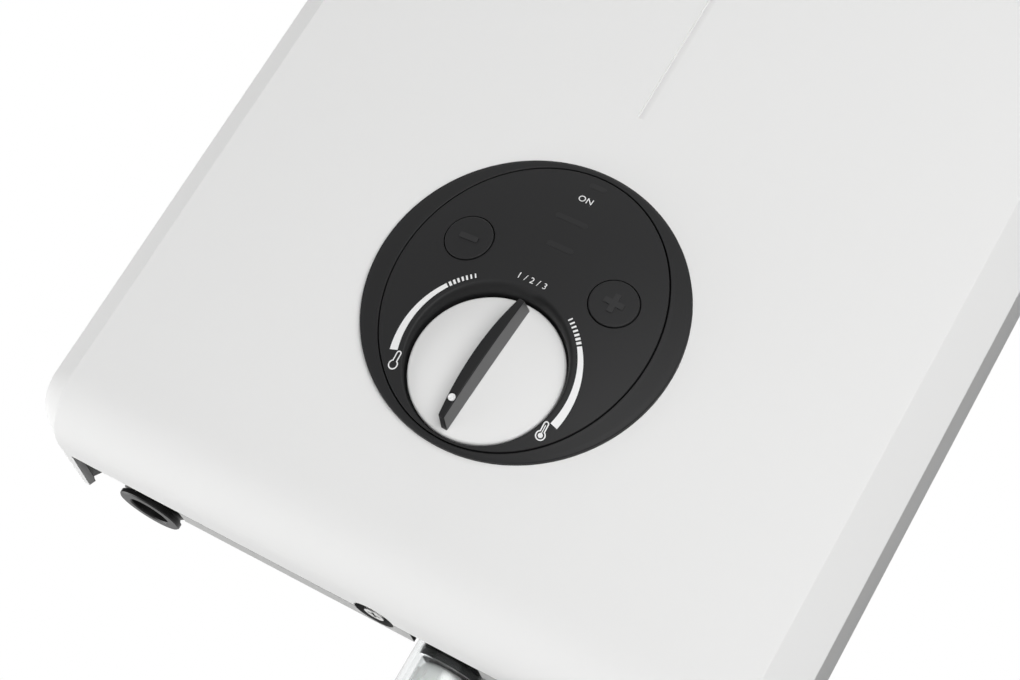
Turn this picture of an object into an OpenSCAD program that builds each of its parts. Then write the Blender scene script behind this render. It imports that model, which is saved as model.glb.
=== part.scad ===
// Wall-hung instant electric water heater with a round dial, drawn as the pieces it comes apart into.
// Millimetres. The front faces -Y, the wall is the plane y = 0, +Z is up, and the origin is the
// centre of the four wall holes.

/* [Cover] */
// Width of the cover at its widest
cover_w = 240; // [230:1:270]
// Height of the cover
cover_h = 390; // [380:1:440]
// Distance from the wall to the flat front
front_depth = 78; // [76:1:96]
// Distance from the flat front to the cover's back edge
cover_depth = 64; // [58:1:66]
// Wall thickness of the cover
cover_wall = 2.5; // [1.8:0.1:3]
// Depth of the bevel along the two long edges
edge_bevel = 10.6; // [6:0.1:14]
// Radius of the bend along the top and bottom edges
bend_r = 18; // [14:0.5:22]
// Radius of the same bends along the sides
side_bend = 12; // [8:0.5:13]
// How much each side leans in between the bevel and the back edge
side_draft = 4.5; // [1:0.5:6]
// Distance from the flat front to the bottom rim
rim_depth = 24.5; // [22:0.5:30]
// Corner cut off the lower back end of each side
heel_cut = 11; // [3:0.5:14]
// Width of the upright groove in the front
groove_w = 2.7; // [1.5:0.1:5]
// Depth of the groove
groove_d = 0.8; // [0.4:0.1:1.4]
// Height of the groove's lower end above the dial's centre
groove_rise = 69.3; // [60:0.1:90]
// Distance from the groove's upper end to the cover's top
groove_top = 24; // [20:1:60]

/* [Back plate] */
// Thickness of the back plate's walls
plate_wall = 3; // [2:0.1:4]
// How far the plinth stands in from the cover's back edge
plinth_inset = 4; // [3.5:0.1:8]
// How far the plinth's rim reaches into the cover
rim_reach = 8; // [4:0.5:12]
// Height of the open pipe bay under the casing
bay_h = 24; // [18:0.5:26]
// Depth of the lip behind the cover's bottom rim
lip_depth = 7.5; // [6:0.1:10]
// Reach of the lip to the left of the middle
lip_left = 68; // [60:1:70]
// Reach of the lip to the right of the middle
lip_right = 62; // [50:1:68]
// Thickness of the cover seal
seal_t = 1.2; // [0.8:0.1:2]
// Distance of the wall holes from the plinth's sides
wall_inset = 11.5; // [9:0.5:20]
// Upright distance between the wall holes
wall_pitch_z = 290; // [260:1:300]
// Diameter of the wall holes
wall_hole_d = 5.5; // [4:0.1:8]

/* [Dial] */
// Height of the dial's centre above the cover's bottom
dial_h = 93.5; // [90:0.5:110]
// Width of the bezel's seat on the cover
bezel_seat = 0.9; // [0.8:0.1:4]
// Radius of the dome over the dial
dome_r = 195; // [170:1:240]
// Height of the dome's crown over the front
dome_rise = 7.7; // [7.2:0.1:9]
// Width of the oval control panel
panel_w = 80.6; // [76:0.1:82]
// Height of the oval control panel
panel_h = 91.2; // [88:0.1:96]
// Wall thickness of the control panel
panel_wall = 2.5; // [1.8:0.1:3]
// Gap round the control panel
panel_gap = 0.35; // [0.2:0.05:0.5]
// Diameter of the turning disc
knob_d = 45.6; // [42:0.1:46]
// Width of the panel between the disc's cup and its lower edge
cup_margin = 0.5; // [0.4:0.1:3]
// Height of the disc's rim over the front
knob_rise = 2.2; // [1.6:0.1:2.4]
// Height of the disc's crown over its rim
knob_crown = 3; // [0.5:0.1:4]
// Length of the blade across the disc
blade_l = 42.6; // [38:0.1:43]
// Width of the blade at its middle
blade_w = 3.8; // [3.4:0.1:6]
// Height of the blade's crest over the front
blade_rise = 13.5; // [11:0.1:15]
// Diameter of the pointer dot
dot_d = 2.2; // [1.6:0.1:2.4]
// Distance of the pointer dot from the disc's centre
dot_reach = 14.6; // [10:0.1:16]
// How far the blade is turned from straight down, clockwise
knob_turn = 3.5; // [0:0.5:10]
// Diameter of the two buttons
button_d = 14.5; // [12:0.1:16]
// Sideways distance of each button from the dial's centre
button_x = 23.9; // [22:0.1:25]
// Height of the buttons above the dial's centre
button_z = 10.6; // [9:0.1:13]
// Travel of the buttons
button_travel = 1; // [0.6:0.1:1.4]

/* [Water] */
// Distance from the wall to the axis of the pipes
pipe_off = 32.5; // [32:0.5:36]
// Sideways place of the hot outlet
outlet_x = -86; // [-88:0.5:-80]
// Sideways place of the cold inlet
inlet_x = 21.5; // [18:0.5:26]
// Outside diameter of the half-inch thread
thread_d = 20.96; // [18:0.01:21.5]
// How far the hot outlet stands out below the cover
outlet_drop = 0; // [0:0.1:8]
// Outside diameter of the clear strainer housing
strainer_d = 25; // [24.6:0.1:27]
// How far the strainer housing reaches below the cover
strainer_drop = 37; // [36:0.5:44]
// Outside diameter of the pipes
tube_d = 15; // [13:0.1:15.4]
// Wall thickness of the pipes
tube_wall = 1.5; // [1:0.1:2]
// Bend radius of the pipes
tube_bend = 14; // [10:0.5:16]
// Outside diameter of the pump
pump_d = 44; // [40:0.5:46]
// Height of the pump body
pump_h = 18; // [18:0.5:20]
// Outside diameter of the heating tank
tank_d = 44; // [42:0.5:46]
// Length of the heating tank
tank_l = 180; // [160:1:184]
// Wall thickness of the heating tank
tank_wall = 2.5; // [2:0.1:3.5]

/* [Electrics] */
// Diameter of the cable hole in the grommet
cable_d = 9; // [7:0.1:10]
// Width of the power board
power_w = 52; // [44:1:54]
// Height of the power board
power_h = 120; // [100:1:126]

/* [Hidden] */
$fn = 64;

fit = 0.3;
shaft_fit = 0.05;
bend_step = 5;
half_w = cover_w / 2;
half_h = cover_h / 2;
front_y = -front_depth;
back_y = front_y + cover_depth;
bot_z = -half_h;
flat_half = half_w - edge_bevel;
back_half = half_w - side_draft;
rim_y = front_y + rim_depth;
plinth_half = back_half - plinth_inset;
flange_half = back_half - 1;
flange_top = half_h - 1;
plinth_top = half_h - plinth_inset;
wall_pitch_x = 2 * (plinth_half - wall_inset);
bay_z = bot_z + bay_h;
floor_z = bay_z + plate_wall;
lip_back = rim_y + lip_depth;
shelf_front = front_y + cover_wall + 1.5;
shelf_back = front_y + edge_bevel + cover_wall + 1.5;

screw_notch_r = lip_depth - 1;
screw_head_r = 3.2;
screw_y = rim_y;
screw_head_h = 2.2;
screw_r = 1.9;
tab_z = bot_z + cover_wall - 0.2;
tab_t = 2.5;

dial_z = bot_z + dial_h;
panel_a = panel_w / 2;
panel_b = panel_h / 2;
panel_drop = 0.2;
dial_hole_r = panel_b + panel_drop + panel_gap + fit + 0.45;
bezel_r = dial_hole_r + bezel_seat;
ring_reach = cover_wall + 1.5;
knob_r = knob_d / 2;
cup_r = knob_r + 0.7;
knob_drop = panel_b + panel_drop - cup_r - cup_margin;
cup_wall = 1.8;
cup_flare = 1.9;
cup_floor = -1;
cup_floor_t = 1.5;
disc_back = cup_floor + fit;
hub_r = 5;
shaft_r = 3;
crest_half = blade_l / 2 - 0.7;
crest_fall = 3.4;
dot_floor = crest(dot_reach) - 1;
button_r = button_d / 2;
button_gap = 0.35;
button_proud = 0.35;
button_reach = norm([button_x, button_z]) + button_r + 1.2;
button_flange_z = under_dome(button_reach) - fit;
board_front = -12;
board_t = 1.6;
switch_h = 3.5;
plunger_h = 0.8;
stem_end = board_front + switch_h + plunger_h + button_travel + 0.15;
hub_end = -3.6;
pot_h = 5;
bushing_end = hub_end - 0.6;
post_r = 3;
post_places = [[-22, 28], [22, 28], [-31, -14], [31, -14]];
guide_places = [[39, 5], [28.6, 10], [19.2, 8]];

pipe_y = -pipe_off;
tube_r = tube_d / 2;
tube_bore = tube_r - tube_wall;
thread_r = thread_d / 2;
neck_r = thread_r - 0.4;
collar_r = thread_r + 3.5;
collar_t = 4;
nut_t = 4;
spigot_bore = 6.5;
inlet_end = bot_z + 1;
washer_t = 2;
strainer_r = strainer_d / 2;
lip_to_pipe = max(0, pipe_y - lip_back);
lip_open = max(strainer_r - 3, sqrt(max(0, pow(strainer_r + 1, 2) - pow(lip_to_pipe, 2))));
strainer_top = bay_z - nut_t - 1;
strainer_ledge = inlet_end - washer_t;
strainer_step = 1.5;
mesh_r = 8;
mesh_wall = 0.8;
mesh_h = 21;
strainer_floor = strainer_ledge - mesh_h - fit;
strainer_base = 3;
strainer_end = bot_z - strainer_drop;

pump_r = pump_d / 2;
pump_z = floor_z + 18;
pump_wall = 3;
pump_port_z = pump_z + pump_wall + tube_bore + 1.5;
pump_port_x = inlet_x + pump_r + 8;
cap_t = 3;
motor_r = pump_r - 4;
motor_l = 35;
motor_z = pump_z + pump_h + cap_t;
motor_bore_l = 10;
shaft_pump_r = 2;
impeller_r = pump_r - pump_wall - 1.5;

flow_x = -outlet_x;
flow_z = pump_port_z + 34.5;
flow_l = 40;
flow_r = tube_r + 3.5;
flow_chamber_r = tube_r + 0.5;
flow_end_t = 4;
flow_pin_r = 1.5;
flow_bar_t = 2;
rotor_l = 20;

tank_r = tank_d / 2;
tank_x = 20;
tank_z = -30;
tank_top = tank_z + tank_l;
nozzle_l = 8;
cold_z = tank_z + 22;
hot_z = tank_top - 22;
lid_r = tank_r + 6;
tank_y = -plate_wall - 1.5 - lid_r;
lid_t = 6;
lid_seal_t = 1;
lid_z = tank_top + lid_seal_t;
lid_screw_r = 2;
lid_pcd_r = tank_r + 2.8;
element_r = 3.2;
element_gap = (tank_r - tank_wall) * 0.36;
element_pitch = (tank_r - tank_wall) * 2 / 3;
element_top = lid_z + lid_t + 11;
strap_t = 1;
strap_h = 12;
strap_places = [tank_z + 40, tank_top - 50];
pad_y = tank_y - tank_r - 2;
cutout_w = 20;
cutout_d = 10;
cutout_z = tank_z + 82;
reset_r = 2.5;
reset_travel = 1.2;

standoff_h = 7.4;
power_x = plate_wall + 4.5 - plinth_half + power_w / 2;
power_z = -5;
power_y = -plate_wall - standoff_h;
terminal_w = 38;
terminal_x = flow_x - 17;
terminal_h = 20;
terminal_d = 18;
grommet_x = plinth_half - 21.5;
grommet_y = -22;
grommet_neck_r = cable_d / 2 + 2.5;
lead_r = 1.6;
lead_bend = 5;

// Height of the dome's inner face over the front, at a distance from the dial's axis
function under_dome(r) = dome_rise - dome_r + sqrt(pow(dome_r - panel_wall, 2) - r * r);
function oval(a, b) = [for (i = [0:5:355]) [a * cos(i), b * sin(i) - panel_drop]];
// Height of the blade's crest over the front, at a distance from the disc's centre
function crest(d) = blade_rise - crest_fall * pow(d / crest_half, 2);
function unit(v) = v / norm(v);

// One bend of the cover's side view: rows of [y, z]
function bend(front, r, z_end, a_end) =
    [for (a = [0:bend_step:a_end]) [front + r * (1 - cos(a)), z_end - r * (1 - sin(a))]];
function mirrored(points) = [for (i = [len(points) - 1:-1:0]) [points[i][0], -points[i][1]]];

// Cuts and solids along the three directions
module along_y(r, y0, y1) translate([0, y0, 0]) rotate([-90, 0, 0]) cylinder(r = r, h = y1 - y0);
module along_x(r, x0, x1) translate([x0, 0, 0]) rotate([0, 90, 0]) cylinder(r = r, h = x1 - x0);
module from_side(w) rotate([90, 0, 90]) linear_extrude(w, center = true) children();
module block(x0, x1, y0, y1, z0, z1) translate([x0, y0, z0]) cube([x1 - x0, y1 - y0, z1 - z0]);
module ring(r_out, r_in, h) difference() {
    cylinder(r = r_out, h = h);
    translate([0, 0, -1]) cylinder(r = r_in, h = h + 2);
}

// Places children on the flat front, with their +Z towards the user and their +Y up
module at_front(x, z) translate([x, front_y, z]) rotate([90, 0, 0]) children();
module at_dial() at_front(0, dial_z) children();
module at_knob() at_front(0, dial_z - knob_drop) children();
module dome(grow) translate([0, 0, dome_rise - dome_r]) sphere(r = dome_r + grow, $fn = 360);
module oval_prism(grow, z0, z1) translate([0, 0, z0]) linear_extrude(z1 - z0)
    polygon(oval(panel_a + grow, panel_b + grow));

// A round rod along points joined by square bends
module rod(points, r, bend_r, stretch = 0) {
    last = len(points) - 1;
    for (i = [0:last - 1]) {
        dir = unit(points[i + 1] - points[i]);
        from = points[i] + dir * (i == 0 ? -stretch : bend_r);
        to = points[i + 1] + dir * (i == last - 1 ? stretch : -bend_r);
        side = abs(dir[2]) > 0.5 ? [1, 0, 0] : [0, 0, 1];
        turned(from, side, cross(dir, side), dir) cylinder(r = r, h = norm(to - from));
    }
    for (i = [1:1:last - 1]) {
        u = unit(points[i] - points[i - 1]);
        v = unit(points[i + 1] - points[i]);
        turned(points[i] - u * bend_r + v * bend_r, -v, u, cross(-v, u))
            rotate_extrude(angle = 90) translate([bend_r, 0]) circle(r = r);
    }
}
module turned(p, a, b, c) multmatrix([
    [a[0], b[0], c[0], p[0]],
    [a[1], b[1], c[1], p[1]],
    [a[2], b[2], c[2], p[2]],
    [0, 0, 0, 1]
]) children();
module tube(points) difference() {
    rod(points, tube_r, tube_bend);
    rod(points, tube_bore, tube_bend, 1);
}

// Cover
module cover_form(inset, back) {
    corner = inset * (sqrt(2) - 1);
    flat = bend(front_y + inset, bend_r - inset, half_h - inset, 90);
    side_y = front_y + edge_bevel + corner;
    side = bend(side_y, side_bend - inset, half_h - bend_r + side_bend - inset, 90);
    hull() {
        from_side(2 * (flat_half - corner)) polygon(concat(mirrored(flat), flat));
        intersection() {
            from_side(cover_w) polygon(concat(mirrored(side), side));
            linear_extrude(cover_h, center = true) polygon(plan(half_w - inset, side_y, back_half - inset, back));
        }
        block(inset - back_half, back_half - inset, back - 1, back, inset - half_h, half_h - inset);
    }
}
// Four corners, seen from above, of a form with two widths at two distances from the wall
function plan(half0, y0, half1, y1) = [[-half0, y0], [half0, y0], [half1, y1], [-half1, y1]];
module cover_tab() translate([0, rim_y, tab_z]) difference() {
    union() {
        cylinder(r = screw_notch_r - fit, h = tab_t);
        difference() {
            cylinder(r = screw_notch_r + 2, h = tab_t);
            block(-lip_depth - 2, lip_depth + 2, 0, lip_depth + 2, -1, tab_t + 1);
        }
    }
    translate([0, 0, -1]) cylinder(r = screw_r + 0.2, h = tab_t + 2);
}
module front_cover() color("white") {
    difference() {
        cover_form(0, back_y);
        cover_form(cover_wall, back_y + 1);
        translate([0, 0, bot_z - 1]) linear_extrude(bend_r)
            polygon(plan(flat_half - 0.6, rim_y, back_half - 1.5, back_y + 1));
        translate([0, rim_y, bot_z - 1]) cylinder(r = screw_notch_r, h = cover_wall + 2);
        from_side(cover_w + 2)
            polygon([[back_y - heel_cut - 1, bot_z - 1], [back_y + 1, bot_z - 1], [back_y + 1, bot_z + heel_cut + 1]]);
        at_dial() translate([0, 0, -cover_wall - 1]) cylinder(r = dial_hole_r, h = cover_wall + 2);
        at_dial() translate([0, 0, -groove_d]) groove(dial_h + groove_rise, cover_h - groove_top);
    }
    cover_tab();
}
// The groove runs between two heights above the cover's bottom
module groove(low, high) linear_extrude(groove_d + 1) {
    for (z = [low + groove_w / 2, high - groove_w / 2]) translate([0, z - dial_h]) circle(d = groove_w);
    translate([-groove_w / 2, low + groove_w / 2 - dial_h]) square([groove_w, high - low - groove_w]);
}

// Back plate
module back_plate() color("gainsboro") {
    difference() {
        union() {
            difference() {
                block(-plinth_half, plinth_half, back_y - rim_reach, 0, bay_z, plinth_top);
                block(plate_wall - plinth_half, plinth_half - plate_wall, back_y - rim_reach - 1, -plate_wall,
                    floor_z, plinth_top - plate_wall);
            }
            difference() {
                block(-flange_half, flange_half, back_y + seal_t, back_y + seal_t + plate_wall, bay_z, flange_top);
                block(1 - plinth_half, plinth_half - 1, back_y, 0, bay_z + 1, plinth_top - 1);
            }
            block(-plinth_half, plinth_half, shelf_back, -1, bay_z, floor_z);
            block(4 - flat_half, flat_half - 4, shelf_front, shelf_back + 1, bay_z, floor_z);
            for (span = lip_spans()) {
                block(span[0], span[1], lip_back - plate_wall, lip_back, bot_z, bay_z + 1);
                block(span[0], span[1], rim_y + fit, lip_back, bot_z, bot_z + plate_wall);
            }
            translate([0, screw_y, tab_z + tab_t]) cylinder(r = screw_head_r + 1, h = bay_z - tab_z - tab_t + 1);
            for (z = strap_places) block(tank_x - 10, tank_x + 10, tank_y + tank_r * 0.8, -1, z - 9, z + 9);
            block(inlet_x - 9, inlet_x + 9, pipe_y + pump_r * 0.8, -1, pump_z + 2, pump_z + pump_h - 2);
            power_corners() translate([0, -plate_wall + 1, 0]) rotate([90, 0, 0]) cylinder(r = 3.5, h = standoff_h + 1);
        }
        wall_holes();
        translate([0, rim_y, bot_z - 1]) cylinder(r = screw_notch_r, h = tab_z + tab_t - bot_z + 1);
        translate([0, screw_y, bot_z]) cylinder(r = screw_r + shaft_fit, h = bay_h - 4);
        translate([tank_x, tank_y, tank_z]) cylinder(r = tank_r + fit / 2, h = tank_l);
        translate([inlet_x, pipe_y, pump_z]) cylinder(r = pump_r + fit / 2, h = pump_h);
        for (x = [outlet_x, inlet_x]) translate([x, pipe_y, bay_z - 1]) cylinder(r = thread_r + fit, h = plate_wall + 2);
        translate([grommet_x, grommet_y, bay_z - 1]) cylinder(r = grommet_neck_r + 0.2, h = plate_wall + 2);
        power_corners() translate([0, -plate_wall, 0]) rotate([90, 0, 0]) cylinder(r = 1.25, h = standoff_h + 1);
    }
}
// The lip is open where the outlet and the strainer housing come down
function lip_spans() = [[-lip_left, inlet_x - lip_open], [inlet_x + strainer_r + 0.5, lip_right]];
module wall_holes() for (x = [-1, 1], z = [-1, 1])
    translate([x * wall_pitch_x / 2, 0, z * wall_pitch_z / 2]) along_y(wall_hole_d / 2, -plate_wall - 1, 1);
module power_corners() for (x = [-1, 1], z = [-1, 1])
    translate([power_x + x * (power_w / 2 - 5), 0, power_z + z * (power_h / 2 - 5)]) children();

module cover_seal() color("dimgray") difference() {
    block(-flange_half, flange_half, back_y, back_y + seal_t, bay_z, flange_top);
    block(-plinth_half - fit, plinth_half + fit, back_y - 1, 0, bay_z - 1, plinth_top + fit);
}
module cover_screw() color("silver") translate([0, screw_y, 0]) difference() {
    union() {
        translate([0, 0, tab_z - screw_head_h]) cylinder(r = screw_head_r, h = screw_head_h);
        translate([0, 0, tab_z]) cylinder(r = screw_r, h = bay_h - 8);
    }
    for (a = [0, 90]) translate([0, 0, tab_z - screw_head_h]) rotate(a) cube([4.4, 0.9, 2.4], center = true);
}

// Dial
module bezel_ring() color("#1c1c1c") at_dial() difference() {
    union() {
        intersection() {
            dome(0);
            cylinder(r = bezel_r, h = dome_rise + 1, $fn = 180);
        }
        translate([0, 0, -ring_reach]) cylinder(r = dial_hole_r - fit, h = ring_reach + 0.5, $fn = 180);
        intersection() {
            translate([0, 0, -ring_reach])
                cylinder(r = dial_hole_r + 1.4, h = ring_reach - cover_wall - 0.1, $fn = 180);
            cube([2 * bezel_r, 20, 20], center = true);
        }
    }
    oval_prism(panel_gap, -ring_reach - 1, dome_rise + 1);
}
module control_panel() color("#2b2b2b") at_dial() difference() {
    union() {
        intersection() {
            union() {
                panel_shell();
                translate([0, -knob_drop, cup_floor - cup_floor_t]) cylinder(r = cup_r + cup_wall, h = dome_rise + 4);
                for (p = post_places) translate([p[0], p[1], board_front]) cylinder(r = post_r, h = dome_rise - board_front);
            }
            dome(0);
            oval_prism(0, board_front, dome_rise + 1);
        }
        intersection() {
            difference() {
                oval_prism(2.5, -ring_reach - 2, -ring_reach);
                oval_prism(-panel_wall, -ring_reach - 3, 0);
            }
            translate([0, 0, -ring_reach - 2]) cylinder(r = dial_hole_r - fit, h = 2);
        }
    }
    translate([0, -knob_drop, cup_floor]) cylinder(r = cup_r, h = dome_rise + 4);
    translate([0, -knob_drop, knob_rise]) cylinder(r1 = cup_r, r2 = cup_r + cup_flare, h = dome_rise - knob_rise + 0.5);
    translate([0, -knob_drop, cup_floor - cup_floor_t - 1]) cylinder(r = hub_r + 0.5, h = cup_floor_t + 2);
    for (x = [-button_x, button_x]) translate([x, button_z, 0]) cylinder(r = button_r + button_gap, h = dome_rise + 1);
    for (p = post_places) translate([p[0], p[1], board_front - 1]) cylinder(r = 1.25, h = 9);
}
module panel_shell() difference() {
    oval_prism(0, -ring_reach - 2, dome_rise + 1);
    intersection() {
        dome(-panel_wall);
        oval_prism(-panel_wall, -ring_reach - 3, dome_rise + 1);
    }
}
module button(x) at_dial() {
    intersection() {
        translate([x, button_z, button_flange_z - 1]) cylinder(r = button_r, h = dome_rise + 2);
        dome(button_proud);
    }
    translate([x, button_z, button_flange_z - 1]) cylinder(r = button_r + 1.2, h = 1);
    translate([x, button_z, stem_end]) cylinder(r = 2, h = button_flange_z - stem_end);
    intersection() {
        translate([x, button_z, 0]) linear_extrude(dome_rise + 2) children();
        dome(button_proud + 0.3);
    }
}
module bar_mark() square([button_d * 0.42, button_d * 0.11], center = true);
module minus_button() color("#222222") button(-button_x) bar_mark();
module plus_button() color("#222222") button(button_x) {
    bar_mark();
    rotate(90) bar_mark();
}
module disc_form() rotate_extrude($fn = 96) polygon(concat(
    [[0, disc_back], [knob_r - 0.6, disc_back], [knob_r, disc_back + 0.6]],
    [for (a = [0:15:90]) [knob_r - 1 + cos(a), knob_rise - 1 + sin(a)]],
    [for (i = [8:-1:0]) [(knob_r - 1.6) * i / 8, knob_rise - 0.2 + knob_crown * (1 - pow(i / 8, 2))]]
));
module knob_disc() color("whitesmoke") at_knob() difference() {
    union() {
        disc_form();
        translate([0, 0, hub_end]) cylinder(r = hub_r, h = disc_back - hub_end + 0.2);
    }
    translate([0, 0, hub_end - 1]) cylinder(r = shaft_r + shaft_fit, h = disc_back - hub_end + 1.6);
}
// Plan of the blade: wide at the middle, narrow at both ends
function lens(half_l, mid, tip) = [for (s = [1, -1], i = [-10:10])
    [s * (tip + (mid - tip) * (1 - pow(i / 10, 2))), s * half_l * i / 10]];
module blade_form() hull() {
    linear_extrude(0.5) polygon(lens(blade_l / 2, blade_w / 2, blade_w * 0.28));
    intersection() {
        linear_extrude(blade_rise) polygon(lens(crest_half, blade_w / 2 - 0.1, blade_w * 0.25));
        rotate([90, 0, 90]) linear_extrude(blade_w, center = true) polygon(concat(
            [[crest_half, 0], [-crest_half, 0]],
            [for (i = [-8:8]) [crest_half * i / 8, crest(crest_half * i / 8)]]));
    }
}
module knob_blade() color("#1a1a1a") at_knob() rotate(-knob_turn) difference() {
    blade_form();
    disc_form();
    translate([0, -dot_reach, dot_floor]) cylinder(d = dot_d + 2 * shaft_fit, h = 4, $fn = 32);
}
module knob_dot() color("white") at_knob() rotate(-knob_turn)
    translate([0, -dot_reach, dot_floor]) cylinder(d = dot_d, h = 1.2, $fn = 32);
module knob_shaft() color("silver") at_knob() translate([0, 0, board_front + 1.8])
    cylinder(r = shaft_r, h = disc_back + 0.3 - board_front - 1.8);
module potentiometer() color("dimgray") at_knob() difference() {
    translate([0, 0, board_front]) {
        cylinder(r = 8.5, h = pot_h);
        cylinder(r = shaft_r + 0.8, h = bushing_end - board_front);
    }
    translate([0, 0, board_front + 1.5]) cylinder(r = shaft_r + shaft_fit, h = 20);
}
module control_board() color("darkgreen") at_dial() difference() {
    oval_prism(-3.3, board_front - board_t, board_front);
    for (p = post_places) translate([p[0], p[1], board_front - board_t - 1]) cylinder(r = 1.5, h = board_t + 2);
}
module button_switches() color("#333333") at_dial() for (x = [-button_x, button_x])
    translate([x, button_z, board_front]) {
        translate([-3, -3, 0]) cube([6, 6, switch_h]);
        cylinder(r = 1.75, h = switch_h + plunger_h);
    }
module light_guides() color("gainsboro") at_dial() for (g = guide_places)
    translate([-g[1] / 2, g[0] - 1, board_front]) cube([g[1], 2, under_dome(g[0] + 2) - board_front - fit]);
module board_screws() color("silver") at_dial() for (p = post_places)
    translate([p[0], p[1], board_front - board_t]) {
        translate([0, 0, -1.8]) cylinder(r = 2.6, h = 1.8);
        cylinder(r = 1.2, h = board_t + 7);
    }

// Water way
module spigot(x, end) translate([x, pipe_y, 0]) difference() {
    union() {
        translate([0, 0, end]) cylinder(r = thread_r, h = bay_z - nut_t - end);
        translate([0, 0, bay_z - nut_t - 1]) cylinder(r = neck_r, h = plate_wall + nut_t + 2);
        translate([0, 0, floor_z]) cylinder(r = collar_r, h = collar_t);
    }
    translate([0, 0, end - 1]) cylinder(r = spigot_bore, h = bay_z - end - 5);
    translate([0, 0, end]) cylinder(r = tube_bore, h = floor_z + collar_t - end + 1);
}
module outlet_spigot() color("#202020") spigot(outlet_x, bot_z - outlet_drop);
module inlet_fitting() color("#202020") {
    spigot(inlet_x, inlet_end);
    translate([inlet_x, pipe_y, floor_z + collar_t]) ring(tube_r, tube_bore, pump_z - floor_z - collar_t);
}
module lock_nuts() color("#303030") for (x = [outlet_x, inlet_x]) translate([x, pipe_y, bay_z - nut_t])
    difference() {
        cylinder(r = thread_r + 4.5, h = nut_t, $fn = 6);
        translate([0, 0, -1]) cylinder(r = thread_r + shaft_fit, h = nut_t + 2);
    }
module strainer_housing() color("lightcyan", 0.5) translate([inlet_x, pipe_y, 0]) difference() {
    union() {
        translate([0, 0, strainer_floor - strainer_base])
            cylinder(r = strainer_r, h = strainer_top - strainer_floor + strainer_base);
        translate([0, 0, strainer_end]) cylinder(r = thread_r, h = strainer_floor - strainer_end);
    }
    translate([0, 0, strainer_ledge]) cylinder(r = thread_r + shaft_fit, h = strainer_top - strainer_ledge + 1);
    translate([0, 0, strainer_floor]) cylinder(r = thread_r - strainer_step, h = strainer_ledge - strainer_floor + 1);
    translate([0, 0, strainer_end - 1]) cylinder(r = tube_bore, h = strainer_floor - strainer_end + 2);
}
module strainer_mesh() color("lightgray") translate([inlet_x, pipe_y, strainer_floor]) rotate_extrude() difference() {
    union() {
        translate([mesh_r - 3, mesh_h - 3]) circle(r = 3);
        square([mesh_r, mesh_h - 3]);
        square([mesh_r - 3, mesh_h]);
    }
    square([mesh_r - mesh_wall, mesh_h - 3]);
    square([mesh_r - 3, mesh_h - mesh_wall]);
    translate([mesh_r - 3, mesh_h - 3]) circle(r = 3 - mesh_wall);
}
module strainer_washer() color("black") translate([inlet_x, pipe_y, strainer_ledge])
    ring(thread_r - 0.2, spigot_bore + 0.4, washer_t);

module pump_body() color("#262626") difference() {
    union() {
        translate([inlet_x, pipe_y, pump_z]) cylinder(r = pump_r, h = pump_h);
        translate([0, pipe_y, pump_port_z]) along_x(tube_r, inlet_x, pump_port_x);
    }
    translate([inlet_x, pipe_y, pump_z + pump_wall]) cylinder(r = pump_r - pump_wall, h = pump_h);
    translate([inlet_x, pipe_y, pump_z - 1]) cylinder(r = tube_bore, h = pump_wall + 2);
    translate([0, pipe_y, pump_port_z]) along_x(tube_bore, inlet_x, pump_port_x + 1);
}
module pump_cap() color("#303030") translate([inlet_x, pipe_y, pump_z + pump_h])
    ring(pump_r, shaft_pump_r + 0.5, cap_t);
module impeller() color("ivory") translate([inlet_x, pipe_y, pump_z + pump_wall + fit]) {
    ring(impeller_r, tube_bore - 1, 2);
    for (a = [0:60:300]) rotate(a) translate([4, -0.8, 0]) cube([impeller_r - 5, 1.6, 10]);
    translate([0, 0, 4]) cylinder(r = 5, h = 6);
    translate([0, 0, 8]) cylinder(r = shaft_pump_r, h = motor_z + motor_bore_l - fit - pump_z - pump_wall - fit - 8);
}
module pump_motor() color("silver") translate([inlet_x, pipe_y, motor_z]) difference() {
    cylinder(r = motor_r, h = motor_l);
    translate([0, 0, -1]) cylinder(r = shaft_pump_r + shaft_fit, h = motor_bore_l + 1);
}
module pump_pipe() color("#3a3a3a") tube([
    [pump_port_x, pipe_y, pump_port_z], [flow_x, pipe_y, pump_port_z], [flow_x, pipe_y, flow_z]]);
module flow_meter() color("#2c2c2c") translate([flow_x, pipe_y, flow_z]) {
    difference() {
        cylinder(r = flow_r, h = flow_l);
        translate([0, 0, flow_end_t]) cylinder(r = flow_chamber_r, h = flow_l - 2 * flow_end_t);
        translate([0, 0, -1]) cylinder(r = tube_bore, h = flow_l + 2);
    }
    translate([-flow_chamber_r - 1, -1, flow_end_t]) cube([2 * flow_chamber_r + 2, 2, flow_bar_t]);
    translate([0, 0, flow_end_t]) cylinder(r = flow_pin_r, h = flow_l - 2 * flow_end_t - 4);
}
module flow_rotor() color("orange") translate([flow_x, pipe_y, flow_z + flow_end_t + flow_bar_t + fit]) difference() {
    union() {
        cylinder(r = 3, h = rotor_l);
        for (a = [0:90:270]) rotate(a) translate([0, -0.5, 0]) cube([flow_chamber_r - 0.7, 1, rotor_l]);
    }
    translate([0, 0, -1]) cylinder(r = flow_pin_r + shaft_fit, h = rotor_l + 2);
}
module cold_pipe() color("peru") tube([
    [flow_x, pipe_y, flow_z + flow_l], [flow_x, pipe_y, cold_z], [tank_x + tank_r + nozzle_l, pipe_y, cold_z]]);
module hot_pipe() color("peru") tube([
    [tank_x - tank_r - nozzle_l, pipe_y, hot_z], [outlet_x, pipe_y, hot_z], [outlet_x, pipe_y, floor_z + collar_t]]);

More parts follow.
